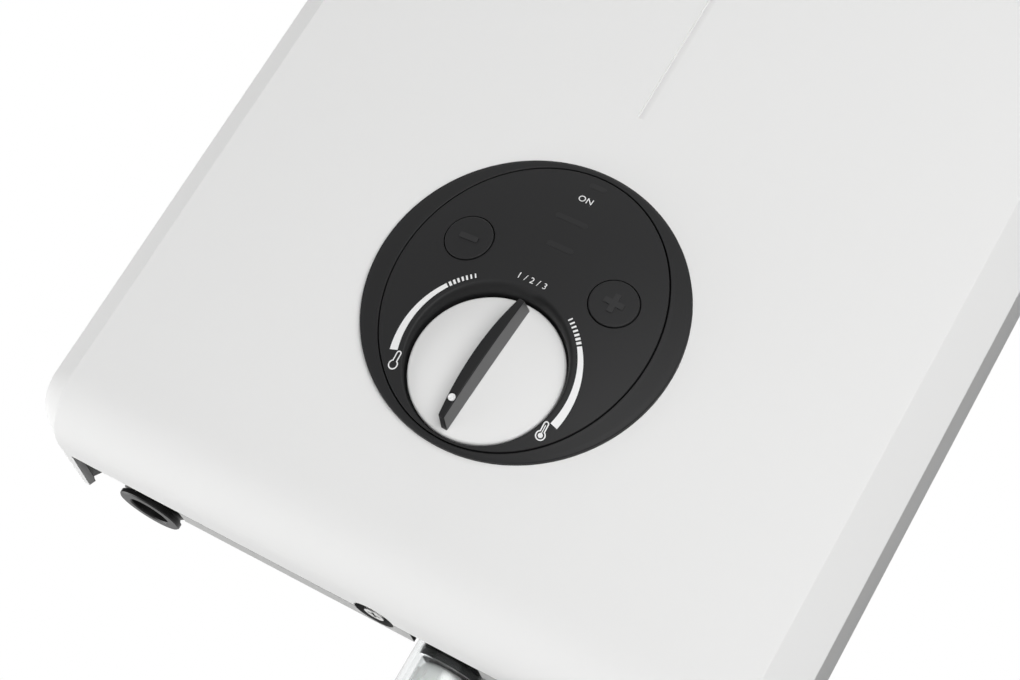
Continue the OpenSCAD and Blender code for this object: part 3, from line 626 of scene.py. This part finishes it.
    def groove(self, sizes):
        """Groove with a steep left side and a floor that rises to its right edge."""
        w, d = sizes.groove_width / MM, sizes.groove_depth / MM
        steps = [i / 10 for i in range(11)]
        section = [(w / 2, 1), (-w / 2, 1), (-w / 2, 0)]
        section += [(w * (t - 0.5), -d * (1 - t) ** 2) for t in steps]
        high = HALF_H - GROOVE_TOP - DIAL_Z
        return prism("groove", section, GROOVE_LOW, high, lambda x, out, end: at_dial(x, end, out))

    def tab(self):
        """Round screw tab over the notch in the bottom rim, with its hole."""
        low, high, hole = COVER_WALL - 0.2, COVER_WALL + 2.3, 2.1
        outline = arc(0, 0, NOTCH_R - 0.3, 0, 180, 24) + arc(0, 0, NOTCH_R + 2, 180, 360, 24)
        tab = prism("tab", outline, low, high, at_rim)
        return joined(tab, plug("bore", hole, low - 1, high + 1, at_rim, 32))


class HEATER_OT_back(bpy.types.Operator):
    """Finishes the back plate, its seal, the cover screw and the cable grommet"""

    bl_idname = "heater.back"
    bl_label = "Back plate"

    def execute(self, context):
        tones = context.scene.heater_colours
        grey = plastic("plate_grey", tones.plate, 0.5, drift=0.03, grain=1200.0, bump=0.000006)
        second_tone(grey, tones.lip, underside, (LIP_T - HALF_H) * MM)
        dressed("back_plate", grey)
        dressed("cover_screw", bare_steel())
        dressed("cover_seal", rubber_black())
        dressed("cable_grommet", rubber_black())
        return {"FINISHED"}


# Dial


def oval_reach(angle):
    """Distance from the knob's axis to the panel's oval edge."""
    c, s = cos(angle), sin(angle)
    y0 = PANEL_DROP - KNOB_DROP
    a2, b2 = PANEL_A * PANEL_A, PANEL_B * PANEL_B
    p = c * c / a2 + s * s / b2
    q = y0 * s / b2
    return (-q + sqrt(q * q - p * (y0 * y0 / b2 - 1))) / p


def dome_at_knob(rho, angle):
    return dome_z(rho * cos(angle), rho * sin(angle) - KNOB_DROP)


class HEATER_OT_dial(bpy.types.Operator):
    """Builds the bezel ring, the domed panel with its cup, and the two buttons"""

    bl_idname = "heater.dial"
    bl_label = "Dial"

    def execute(self, context):
        tones = context.scene.heater_colours
        bezel_black = dark_plastic("bezel_black", tones.bezel, 0.5)
        panel_black = dark_plastic("panel_dark", tones.panel, 0.5)
        button_black = dark_plastic("button_black", tones.panel, 0.5)
        # Painted sheen: the raised bars of the signs take a lighter tone for the gloss they show.
        second_tone(button_black, tones.signs, marked, "sign")
        ring = smoothed(self.ring(), 35)
        finished(ring, "casing", bezel_black, "bezel_black", "bezel_ring")
        panel = self.panel()
        for x in (-BUTTON_X, BUTTON_X):
            hole_r = BUTTON_R + BUTTON_GAP
            joined(panel, plug("hole", hole_r, 0.2, 12, lambda u, v, z: at_dial(x + u, BUTTON_Y + v, z), 96))
        smoothed(panel, 35)
        finished(panel, "casing", panel_black, "panel_dark", "control_panel")
        for name, body, x, bars in (
            ("minus_cap", "minus", -BUTTON_X, (0,)),
            ("plus_cap", "plus", BUTTON_X, (0, 90)),
        ):
            cap = self.cap(name, x)
            for bar in bars:
                joined(cap, self.bar(x, bar), "UNION")
            welded(cap)
            smoothed(cap, 35)
            mark_faces(cap, "sign", self.is_sign)
            finished(cap, body, button_black, "button_black", body + "_button")
        return {"FINISHED"}

    def ring(self, segments=192):
        """Ring between the cover and the oval panel, on the same dome."""
        soft_out, soft_in = 0.5, 0.3
        rim = dome_z(BEZEL_R, 0)
        columns = []
        for a in round_angles(segments):
            c, s = cos(a), sin(a)
            outer = Vector((BEZEL_R * c, BEZEL_R * s))
            inner = Vector(((PANEL_A + PANEL_GAP) * c, (PANEL_B + PANEL_GAP) * s - PANEL_DROP))
            points = [(*outer, 0)]
            for t in quarter(6):
                inset = soft_out * (1 - cos(t)) / BEZEL_R
                points.append((*(outer * (1 - inset)), rim - soft_out * (1 - sin(t)) + 0.06 * inset))
            for t in (k / 8 for k in range(1, 8)):
                p = outer * (1 - soft_out / BEZEL_R) * (1 - t) + inner * t
                points.append((*p, dome_z(*p)))
            away = (outer - inner).normalized()
            for t in quarter(6):
                p = inner + away * soft_in * (1 - sin(t))
                points.append((*p, dome_z(*inner) - soft_in * (1 - cos(t))))
            boss = outer * BOSS_R / BEZEL_R
            points += [(*inner, BOSS_Z), (*boss, BOSS_Z), (*boss, 0)]
            columns.append([at_dial(*p) for p in points])
        return skinned("dial_ring", zip(*columns), closed=True)

    def panel(self, segments=256):
        """Domed panel on rays from the knob's axis: cup, rounded lip, dome, skirt and hollow."""
        columns = []
        for a in round_angles(segments):
            reach = oval_reach(a)
            room = reach - CUP_R
            points = [(HUB_R + 0.5, CUP_FLOOR - 1.5), (HUB_R + 0.5, CUP_FLOOR), (CUP_R, CUP_FLOOR)]
            height = dome_at_knob(CUP_R, a) - KNOB_RISE
            lip = min(max(CUP_LIP * height / 4.5, 0.1), 0.5 * room)
            end = CUP_R + lip
            top = dome_at_knob(end, a)
            low = min(KNOB_RISE, top - 0.2)
            for t in quarter(8):
                points.append((end - lip * cos(t), low + (top - low) * sin(t)))
            soft = min(0.35, 0.3 * (reach - end))
            for k in range(1, 15):
                rho = end + (reach - soft - end) * k / 14
                points.append((rho, dome_at_knob(rho, a)))
            edge = dome_at_knob(reach - soft, a)
            for t in quarter(5)[1:]:
                points.append((reach - soft + soft * sin(t), edge - soft * (1 - cos(t))))
            points.append((reach, PANEL_BACK))
            middle = (reach + CUP_R) / 2
            hollow = room > 6
            out = max(reach - PANEL_WALL, middle)
            inn = min(CUP_R + 1.8, middle)
            points.append((out, PANEL_BACK))
            for k in range(6):
                rho = out + (inn - out) * k / 5
                under = dome_at_knob(rho, a) - PANEL_WALL
                points.append((rho, under if hollow else CUP_FLOOR - 1.5))
            points.append((inn, CUP_FLOOR - 1.5))
            columns.append([at_knob(r * cos(a), r * sin(a), z) for r, z in points])
        return skinned("dial_panel", zip(*columns), closed=True)

    def cap(self, name, x, segments=96):
        """Button that carries the dome on, with its flange and stem."""
        soft, stem_r, stem = 0.35, 2, -6.55
        brim_r = BUTTON_R + 1.2
        reach = hypot(BUTTON_X, BUTTON_Y) + brim_r
        flange = dome_z(reach, 0, DOME_R - PANEL_WALL) - 0.3
        domed = [(r, 0) for r in (0, 1.5, 3, 4.5, 5.8, 6.6)]
        for t in quarter(5):
            domed.append((BUTTON_R - soft + soft * sin(t), soft * (1 - cos(t))))
        flat = [(BUTTON_R, flange), (brim_r, flange), (brim_r, flange - 1)]
        flat += [(stem_r, flange - 1), (stem_r, stem), (0, stem)]

        def ring(r):
            angles = round_angles(segments if r else 1)
            return [(x + r * cos(a), BUTTON_Y + r * sin(a)) for a in angles]

        rows = [[at_dial(*p, dome_z(*p) + BUTTON_PROUD - drop) for p in ring(r)] for r, drop in domed]
        rows += [[at_dial(*p, z) for p in ring(r)] for r, z in flat]
        return skinned(name, rows)

    def is_sign(self, face):
        """Says if a face stands over the button's dome."""
        x, y, z = face.center / MM
        return FRONT_Y - y - dome_z(x, z - DIAL_Z) - BUTTON_PROUD > 0.12

    def bar(self, x, turn):
        """Raised bar of a minus or plus sign, laid on the dome; the upright one is a hair lower."""
        length, width, high = 6.1, 1.8, 0.25 if turn else 0.28
        bm = bmesh.new()
        bmesh.ops.create_cube(bm, size=1.0)
        along = [e for e in bm.edges if abs((e.verts[0].co - e.verts[1].co).x) > 0.5]
        bmesh.ops.subdivide_edges(bm, edges=along, cuts=6)
        sharp = [e for e in bm.edges if e.calc_face_angle(0) > 1.0]
        bmesh.ops.bevel(bm, geom=sharp, offset=0.06, segments=2, profile=0.5, affect="EDGES")
        c, s = cos(radians(turn)), sin(radians(turn))
        for v in bm.verts:
            px, py = v.co.x * length, v.co.y * width
            px, py = x + px * c - py * s, BUTTON_Y + px * s + py * c
            lift = BUTTON_PROUD + (high if v.co.z > 0 else -0.4) - 0.1 * (0.5 - abs(v.co.z))
            v.co = at_dial(px, py, dome_z(px, py) + lift)
        return piece_of(bm, "bar")


class HEATER_OT_knob(bpy.types.Operator):
    """Builds the domed disc, the blade across it and the pointer dot"""

    bl_idname = "heater.knob"
    bl_label = "Knob"

    def execute(self, context):
        tones = context.scene.heater_colours
        white = plastic(
            "disc_white", tones.disc, 0.45, drift=0.015, grain=1500.0, bump=0.000002, Specular_IOR_Level=0.15
        )
        black = dark_plastic("blade_black", tones.blade, 0.36)
        # Painted sheen: both sides of the blade take a lighter grey for the light they catch.
        second_tone(black, tones.flank_sheen, marked, "sheen_flank")
        disc = smoothed(turned("dial_disc", self.disc_profile(), at_knob, 192), 35)
        finished(disc, "knob", white, "disc_white", "knob_disc")
        blade = self.blade()
        floor = self.crest(DOT_REACH) - 1
        joined(blade, plug("pocket", DOT_R + 0.05, floor, floor + 4, self.dot_place, 48))
        smoothed(blade, 30)
        mark_faces(blade, "sheen_flank", lambda face: abs(face.normal.x) > 0.85)
        finished(blade, "knob", black, "blade_black", "knob_blade")
        section = [(0, 0.98), (0.4, 0.98), (0.52, 1.1), (0.8, 1.2), (1.0, 1.15)]
        section += [(DOT_R, 1.0), (DOT_R, 0), (0, 0)]
        dot = turned("pointer_dot", [(r, floor + z) for r, z in section], self.dot_place, 48)
        finished(smoothed(dot, 40), "knob", print_white(tones), "print_white", "knob_dot")
        return {"FINISHED"}

    def disc_profile(self):
        """Domed face with a rolled rim, and the hub with its bore behind it."""
        face = [(FACE_R * i / 14, self.face_height(FACE_R * i / 14)) for i in range(15)]
        rim = arc(KNOB_R - 1.0, KNOB_RISE - 1.0, 1.0, 68, 0, 8)
        back = [(KNOB_R, KNOB_BACK + 0.6), (KNOB_R - 0.6, KNOB_BACK), (HUB_R, KNOB_BACK)]
        hub = [(HUB_R, -3.6), (SHAFT_R, -3.6), (SHAFT_R, -0.1), (0, -0.1)]
        return face + rim + back + hub

    def face_height(self, d):
        """Height of the disc's face at a distance from its centre."""
        return KNOB_RISE - 0.04 + (KNOB_CROWN - 0.16) * (1 - (d / FACE_R) ** 2)

    def crest(self, d):
        return BLADE_RISE - BLADE_FALL * (d / (BLADE_L / 2 - 0.7)) ** 2

    def turned_point(self, x, y, z):
        a = radians(-BLADE_TURN)
        return at_knob(x * cos(a) - y * sin(a), x * sin(a) + y * cos(a), z)

    def dot_place(self, x, y, z):
        return self.turned_point(x, y - DOT_REACH, z)

    def blade(self):
        """Lens-shaped blade with an arched crest; its foot follows the disc's face."""

        def lens(half, middle, tip, z):
            ring = []
            for side in (1, -1):
                for i in range(-12, 13):
                    t = i / 12
                    x = side * (tip + (middle - tip) * (1 - t * t))
                    y = side * half * t
                    ring.append((x, y, z(y)))
            return ring

        def foot(y):
            return self.face_height(y) - 0.02

        half = BLADE_L / 2
        rings = [
            lens(half, BLADE_W / 2, BLADE_W * 0.28, foot),
            lens(half - 0.7, BLADE_W / 2 - 0.1, BLADE_W * 0.25, self.crest),
        ]
        bm = bmesh.new()
        made = [[bm.verts.new(self.turned_point(*p)) for p in ring] for ring in rings]
        count = len(made[0])
        half_count = count // 2
        for i in range(count):
            j = (i + 1) % count
            bm.faces.new((made[0][i], made[0][j], made[1][j], made[1][i]))
        for ring in made:
            for i in range(half_count - 1):
                bm.faces.new((ring[i], ring[i + 1], ring[count - 2 - i], ring[count - 1 - i]))
        return rounded(piece_of(bm, "dial_blade"), 0.35, 4, 38)


# Printed marks


def laid(obj, height):
    """Lays flat marks, drawn from the dial's centre in millimetres, on the dome as thin solids."""
    mesh = obj.data
    for v in mesh.vertices:
        x, y = v.co.x, v.co.y
        v.co = at_dial(x, y, dome_z(x, y) + height / MM)
    mesh.update()
    thick = obj.modifiers.new("Thickness", "SOLIDIFY")
    thick.thickness = 2 * height
    thick.offset = -1.0
    return made_plain(obj)


def round_tree(name, shape):
    """Copies of a unit shape set round an axis, each one narrower than the last by a set amount."""
    tree = bpy.data.node_groups.new(name, "GeometryNodeTree")
    kinds = {"Count": "NodeSocketInt", "Material": "NodeSocketMaterial"}
    measures = ("Radius", "First angle", "Step", "Length", "First width", "Narrowing", "Height")
    for label in ("Count", *measures, "Material"):
        tree.interface.new_socket(label, in_out="INPUT", socket_type=kinds.get(label, "NodeSocketFloat"))
    tree.interface.new_socket("Geometry", in_out="OUTPUT", socket_type="NodeSocketGeometry")

    def add(kind, **inputs):
        return node(tree, kind, inputs).outputs[0]

    start = node(tree, "NodeGroupInput").outputs
    index = add("GeometryNodeInputIndex")
    angle = maths(tree, "MULTIPLY_ADD", index, start["Step"], start["First angle"])
    x, y = (maths(tree, "MULTIPLY", maths(tree, wave, angle), start["Radius"]) for wave in ("COSINE", "SINE"))
    points = add("GeometryNodePoints", Count=start["Count"], Position=add("ShaderNodeCombineXYZ", X=x, Y=y))
    turn = node(tree, "FunctionNodeEulerToRotation", {0: add("ShaderNodeCombineXYZ", Z=angle)}).outputs[0]
    lost = maths(tree, "MULTIPLY", index, start["Narrowing"])
    width = maths(tree, "SUBTRACT", start["First width"], lost)
    size = add("ShaderNodeCombineXYZ", X=start["Length"], Y=width, Z=start["Height"])
    copies = add("GeometryNodeInstanceOnPoints", Points=points, Instance=add(shape), Rotation=turn, Scale=size)
    real = add("GeometryNodeRealizeInstances", Geometry=copies)
    inked = add("GeometryNodeSetMaterial", Geometry=real, Material=start["Material"])
    node(tree, "NodeGroupOutput", {"Geometry": inked})
    return tree


def repeated(name, tree, values):
    """A piece made by a Geometry Nodes tree, with its inputs set by their sockets' identifiers."""
    obj = placed(name, bpy.data.meshes.new(name))
    nodes = obj.modifiers.new(tree.name, "NODES")
    nodes.node_group = tree
    for item in tree.interface.items_tree:
        if item.item_type == "SOCKET" and item.in_out == "INPUT":
            nodes[item.identifier] = values[item.name]
    return made_plain(obj)


class HEATER_OT_marks(bpy.types.Operator):
    """Prints the scales, signs, words and light windows on the dome"""

    bl_idname = "heater.marks"
    bl_label = "Printed marks"

    def execute(self, context):
        sizes = context.scene.heater_sizes
        tones = context.scene.heater_colours
        ink = print_white(tones)
        smoke = plastic("window_smoke", tones.windows, 0.4, drift=0.05, Specular_IOR_Level=0.2)
        tree = round_tree("Scale ticks", "GeometryNodeMeshGrid")
        marks = []
        for side, name in ((-1, "cold"), (1, "hot")):
            marks.append(self.scale(side, name))
            marks.append(self.ticks(tree, side, name, sizes, ink))
            marks.append(self.thermometer(side, name))
        for row in (("word_on", "ON", 36.6, 2.9), ("word_steps", "1 / 2 / 3", 6.0, 2.7)):
            marks.append(self.word(*row))
        for mark in marks:
            finished(laid(mark, sizes.print_height), "casing", ink, "print_white")
        for row in (
            ("window_top", 0.9, 42.2, 5.4),
            ("window_upper", 0.0, 28.6, 10.4),
            ("window_lower", 1.6, 19.2, 8.4),
        ):
            finished(laid(self.window(*row), sizes.print_height), "casing", smoke, "panel_dark")
        return {"FINISHED"}

    def strip(self, name, left, right, *outlines):
        """A flat strip between two lines of points, and filled outlines, that face the user."""
        bm = bmesh.new()
        rows = [(bm.verts.new((*a, 0)), bm.verts.new((*b, 0))) for a, b in zip(left, right)]
        for (a, b), (c, d) in zip(rows, rows[1:]):
            bm.faces.new((a, b, d, c))
        for outline in outlines:
            bm.faces.new([bm.verts.new((*p, 0)) for p in outline])
        bmesh.ops.remove_doubles(bm, verts=bm.verts, dist=1e-4)
        for face in bm.faces:
            face.normal_update()
            if face.normal.z < 0:
                face.normal_flip()
        return filled(bm, name)

    def scale(self, side, name):
        """Solid arc, wide at its lower end."""
        inner, outer = [], []
        steps = 36
        for i in range(steps + 1):
            t = i / steps
            a = radians(195 - 52 * t)
            half = (2.4 - 1.0 * t) / 2
            x, y = -side * cos(a), sin(a)
            inner.append((x * (SCALE_R - half), y * (SCALE_R - half) - KNOB_DROP))
            outer.append((x * (SCALE_R + half), y * (SCALE_R + half) - KNOB_DROP))
        return self.strip("scale_" + name, inner, outer)

    def ticks(self, tree, side, name, sizes, ink):
        """Row of ticks that carries a scale on."""
        first = radians(140.9)
        values = {"Count": sizes.tick_count, "Radius": SCALE_R, "Step": sizes.tick_step * side, "Length": 1.45}
        values.update({"First width": 0.78, "Narrowing": 0.06, "Height": 1.0, "Material": ink})
        values["First angle"] = first if side < 0 else pi - first
        ticks = repeated("ticks_" + name, tree, values)
        for v in ticks.data.vertices:
            v.co.y -= KNOB_DROP
        return ticks

    def thermometer(self, side, name):
        """Outline of a thermometer; the hot one's bulb is filled."""

        def moved(points):
            return [(24.2 * side + x, y - 31.2) for x, y in points]

        def outline(inset):
            bulb, stem, top = 1.5 - inset, 0.8 - inset, 2.75 - inset
            start = degrees(asin(min(1, stem / bulb)))
            points = arc(0, -1.6, bulb, 90 + start, 450 - start, 30) + arc(0, top - stem, stem, 0, 180, 12)
            return moved(points + points[:1])

        core = arc(0, -1.6, 0.72, 100, 440, 24) + [(0.14, 1.6), (-0.14, 1.6)]
        filled = [moved(core)] if side > 0 else []
        return self.strip("thermometer_" + name, outline(0.0), outline(0.36), *filled)

    def word(self, name, words, y, size):
        """Flat mesh of a word, centred at a height."""
        curve = bpy.data.curves.new(name, "FONT")
        curve.body = words
        curve.size = size
        curve.align_x = curve.align_y = "CENTER"
        curve.space_character = 1.1
        text = placed(name + "_curve", curve)
        mesh = final_mesh(text)
        bpy.data.objects.remove(text)
        for v in mesh.vertices:
            v.co.y += y
        return placed(name, mesh)

    def window(self, name, middle, y, length):
        """Unlit light window with round ends."""
        half, r = length / 2, 0.85
        low, high = [], []
        for i in range(33):
            x = -half * cos(pi * i / 32)
            over = max(0.0, abs(x) - half + r)
            reach = sqrt(max(r * r - over * over, 1e-6))
            low.append((middle + x, y - reach))
            high.append((middle + x, y + reach))
        return self.strip(name, low, high)


# Water ends


def at_pipe(middle):
    """Place of points given from a pipe's axis, in millimetres."""
    return lambda x, y, z: Vector((middle + x, PIPE_Y + y, z)) * MM


def threaded(name, place, rows_in, pitch, depth, segments=72):
    """A turned pipe end; rows of (radius, height), and in a thread how deep it cuts."""
    rows = []
    for r, z, *thread in rows_in:
        cut = sum(thread)
        ring = []
        for i, a in enumerate(round_angles(segments)):
            wave = (z / pitch - i / segments) % 1.0
            reach = r - depth * cut * abs(2 * wave - 1)
            ring.append(place(reach * cos(a), reach * sin(a), z))
        rows.append(ring)
    return skinned(name, rows, closed=True)


def thread_rows(low, high, radius, pitch, chamfer):
    """Rows of a threaded length, with a chamfer at its lower end."""
    step = pitch / 8
    count = int((high - low) / step)
    rows = []
    for i in range(count + 1):
        z = low + (high - low) * i / count
        r = radius - max(0.0, chamfer - (z - low))
        cut = min(1.0, max(0.0, (high - z) / pitch))
        if z - low < chamfer:
            cut *= (z - low) / chamfer
        rows.append((r, z, cut))
    return rows


class HEATER_OT_water(bpy.types.Operator):
    """Builds the threaded outlet, the clear strainer housing and its strainer"""

    bl_idname = "heater.water"
    bl_label = "Water ends"

    def execute(self, context):
        sizes = context.scene.heater_sizes
        tones = context.scene.heater_colours
        pitch, depth = sizes.thread_pitch / MM, sizes.thread_depth / MM
        black = dark_plastic("fitting_black", tones.fitting, 0.36)
        end = -HALF_H
        rows = [(6.5, BAY_Z - 6), (6.5, end + 0.4), (6.9, end), (THREAD_R - 0.4, end)]
        rows += [(THREAD_R, end + 0.4), (THREAD_R, end + 1.6)]
        rows += thread_rows(end + 1.9, BAY_Z - NUT_T, THREAD_R, pitch, 1.0)
        neck, brim, brim_z = THREAD_R - 0.4, THREAD_R + 3.5, FLOOR_Z + 4
        rows += [(neck, BAY_Z - NUT_T), (neck, FLOOR_Z), (brim, FLOOR_Z), (brim, brim_z)]
        rows += [(6.0, brim_z), (6.0, BAY_Z - 6)]
        outlet = threaded("outlet_end", at_pipe(OUTLET_X), rows, pitch, depth)
        finished(smoothed(outlet, 40), "casing", black, "fitting_black", "outlet_spigot")

        top = BAY_Z - NUT_T - 1
        ledge = -HALF_H - 1
        floor = ledge - 21.3
        low = -HALF_H - 37
        rows = [(6.0, floor), (6.0, low + 0.6), (6.6, low)]
        rows += thread_rows(low, floor - 3.4, THREAD_R, pitch, 1.0)
        rows += [(neck, floor - 3.0), (12.1, floor - 3.0), (12.5, floor - 2.6), (12.5, top - 0.5)]
        seat, wall = THREAD_R + 0.05, THREAD_R - 1.5
        rows += [(12.0, top), (seat, top), (seat, ledge), (wall, ledge), (wall, floor)]
        housing = threaded("strainer_cup", at_pipe(INLET_X), rows, pitch, depth)
        finished(smoothed(housing, 40), "casing", clear_plastic(), "clear", "strainer_housing")
        dressed("inlet_fitting", black)
        dressed("lock_nuts", black)
        dressed("strainer_washer", rubber_black())
        pale = plastic("mesh_grey", (0.72, 0.72, 0.71), 0.5, drift=0.06, grain=420.0, bump=0.00001)
        high = floor + 21
        profile = [(0, high), (5, high), *arc(5, high - 3, 3, 80, 0, 8), (8, floor), (7.2, floor)]
        profile += [*arc(5, high - 3, 2.2, 0, 80, 8), (5, high - 0.8), (0, high - 0.8)]
        basket = smoothed(turned("strainer_basket", profile, at_pipe(INLET_X), 96), 40)
        finished(basket, "casing", pale, "mesh_grey", "strainer_mesh")
        ribs = self.ribs(pale, floor, high - 3)
        finished(ribs, "casing", pale, "mesh_grey")
        return {"FINISHED"}

    def ribs(self, material, low, high):
        """Upright ribs round the strainer basket."""
        values = {"Count": 14, "Radius": 8.1, "First angle": 0.2, "Step": tau / 14, "Length": 0.8}
        values.update({"First width": 0.9, "Narrowing": 0.0, "Height": high - low, "Material": material})
        ribs = repeated("strainer_ribs", round_tree("Basket ribs", "GeometryNodeMeshCube"), values)
        for v in ribs.data.vertices:
            v.co = (v.co + Vector((INLET_X, PIPE_Y, (low + high) / 2))) * MM
        return ribs


# Inside


class HEATER_OT_inside(bpy.types.Operator):
    """Finishes the pieces inside the casing"""

    bl_idname = "heater.inside"
    bl_label = "Inside"

    def execute(self, context):
        steel = bare_steel()
        grey = plastic("inner_grey", (0.12, 0.12, 0.12), 0.5, drift=0.1)
        tank = plastic("tank_glass_fibre", (0.4, 0.4, 0.37), 0.55, drift=0.2, grain=350.0, bump=0.00002)
        board = plastic("board_green", (0.02, 0.12, 0.045), 0.35, drift=0.15, grain=800.0)
        for material, names in (
            (steel, "knob_shaft board_screws pump_motor tank_lid lid_screws heating_elements tank_straps"),
            (steel, "power_screws terminal_screws"),
            (metal("extruded_aluminium", (0.76, 0.76, 0.77), 0.35), "heat_sink"),
            (metal("drawn_copper", (0.74, 0.42, 0.28), 0.3), "cold_pipe hot_pipe bus_bar"),
            (board, "control_board power_board"),
            (grey, "potentiometer button_switches pump_body pump_cap pump_pipe flow_meter temperature_probe"),
            (grey, "thermal_cutout control_lead"),
            (plastic("inner_ivory", (0.75, 0.71, 0.6), 0.45, drift=0.06), "impeller flow_rotor terminal_block"),
            (plastic("inner_red", (0.5, 0.03, 0.025), 0.45, drift=0.08), "reset_button return_lead"),
            (tank, "heating_tank"),
            (plastic("lead_sleeve", (0.05, 0.09, 0.28), 0.5, drift=0.08), "supply_leads"),
            (rubber_black(), "tank_seal"),
            (clear_plastic(), "light_guides"),
        ):
            for name in names.split():
                dressed(name, material)
        return {"FINISHED"}


# Stage


class HEATER_OT_stage(bpy.types.Operator):
    """Sets the floor, the lamps, the white surround and the camera"""

    bl_idname = "heater.stage"
    bl_label = "Stage"

    def execute(self, context):
        scene = context.scene
        scene.view_settings.view_transform = "Standard"
        self.floor()
        self.surround(scene)
        for name, place, watts in (
            ("front_right", (0.55, -1.45, -0.2), 17.9),
            ("upper_right", (0.75, -1.3, 0.45), 8.3),
            ("left_low", (-1.207, 0.213, -1.028), 26.5),
            ("top", (-0.3, 0.2, 1.5), 12.0),
        ):
            self.lamp(name, Vector(place), watts)
        self.camera(scene)
        return {"FINISHED"}

    def floor(self):
        bm = bmesh.new()
        bmesh.ops.create_grid(bm, x_segments=1, y_segments=1, size=6.0)
        for v in bm.verts:
            v.co.z = CAD_BOX[0][2] - 2.0
        floor = piece_of(bm, "floor")
        pale = plastic("floor_pale", (0.86, 0.86, 0.86), 0.8, drift=0.01, Emission_Color=(1.0, 1.0, 1.0, 1.0))
        tree = pale.node_tree
        glow = maths(tree, "MULTIPLY", self.seen(tree), 0.8)
        tree.links.new(glow, tree.nodes["Principled BSDF"].inputs["Emission Strength"])
        floor.data.materials.append(pale)

    def seen(self, tree):
        """Mask of what the camera sees directly, in gloss or through glass."""
        path = tree.nodes.new("ShaderNodeLightPath").outputs
        glass = maths(tree, "MAXIMUM", path["Is Glossy Ray"], path["Is Transmission Ray"])
        return maths(tree, "MAXIMUM", path["Is Camera Ray"], glass)

    def surround(self, scene):
        """White for what the camera, gloss and glass see, and a plain level of light."""
        scene.world = bpy.data.worlds.new("surround")
        scene.world.use_nodes = True
        tree = scene.world.node_tree
        light = tree.nodes["Background"]
        white = tree.nodes.new("ShaderNodeBackground")
        for back, strength in ((light, 0.06), (white, 1.0)):
            back.inputs["Color"].default_value = (1.0, 1.0, 1.0, 1.0)
            back.inputs["Strength"].default_value = strength
        mix = node(tree, "ShaderNodeMixShader", {0: self.seen(tree), 1: light.outputs[0], 2: white.outputs[0]})
        tree.links.new(mix.outputs[0], tree.nodes["World Output"].inputs["Surface"])

    def lamp(self, name, place, watts):
        """Soft round lamp at a place from the dial's centre, in metres, turned to the dial."""
        data = bpy.data.lights.new(name, "AREA")
        data.shape = "DISK"
        data.size = 1.4
        data.energy = watts
        lamp = placed(name, data)
        lamp.location = at_dial(0, 0, 0) + place
        lamp.rotation_mode = "QUATERNION"
        lamp.rotation_quaternion = (-place).to_track_quat("-Z", "Y")

    def camera(self, scene):
        data = bpy.data.cameras.new("camera")
        data.sensor_fit = "HORIZONTAL"
        data.sensor_width = 36.0
        data.lens = 80.4
        data.shift_x = 0.00112
        data.shift_y = 0.00037
        camera = placed("camera", data)
        right = Vector((0.8575, 0.13998, 0.49508)).normalized()
        down = Vector((0.40229, 0.41745, -0.8148))
        up = (right * down.dot(right) - down).normalized()
        turn = Matrix((right, up, right.cross(up))).transposed().to_4x4()
        camera.matrix_world = Matrix.Translation(at_dial(207.95, -205.47, 580.43)) @ turn
        scene.camera = camera


class HEATER_PT_panel(bpy.types.Panel):
    """Lists the steps and sizes of the heater"""

    bl_idname = "HEATER_PT_panel"
    bl_label = "Heater"
    bl_space_type = "VIEW_3D"
    bl_region_type = "UI"
    bl_category = "Heater"

    def draw(self, context):
        for operator in OPERATORS:
            self.layout.operator(operator.bl_idname)
        for group in (context.scene.heater_sizes, context.scene.heater_colours):
            box = self.layout.box()
            for name in group.__annotations__:
                box.prop(group, name)


OPERATORS = (
    HEATER_OT_stage,
    HEATER_OT_cover,
    HEATER_OT_back,
    HEATER_OT_dial,
    HEATER_OT_knob,
    HEATER_OT_marks,
    HEATER_OT_water,
    HEATER_OT_inside,
)
CLASSES = (HeaterSizes, HeaterColours, *OPERATORS, HEATER_PT_panel)


def register():
    for cls in CLASSES:
        bpy.utils.register_class(cls)
    bpy.types.Scene.heater_sizes = PointerProperty(type=HeaterSizes)
    bpy.types.Scene.heater_colours = PointerProperty(type=HeaterColours)


def unregister():
    del bpy.types.Scene.heater_colours
    del bpy.types.Scene.heater_sizes
    for cls in reversed(CLASSES):
        bpy.utils.unregister_class(cls)


def main():
    register()
    bpy.ops.heater.stage()
    bpy.ops.heater.cover()
    bpy.ops.heater.back()
    bpy.ops.heater.dial()
    bpy.ops.heater.knob()
    bpy.ops.heater.marks()
    bpy.ops.heater.water()
    bpy.ops.heater.inside()


if __name__ == "__main__":
    main()
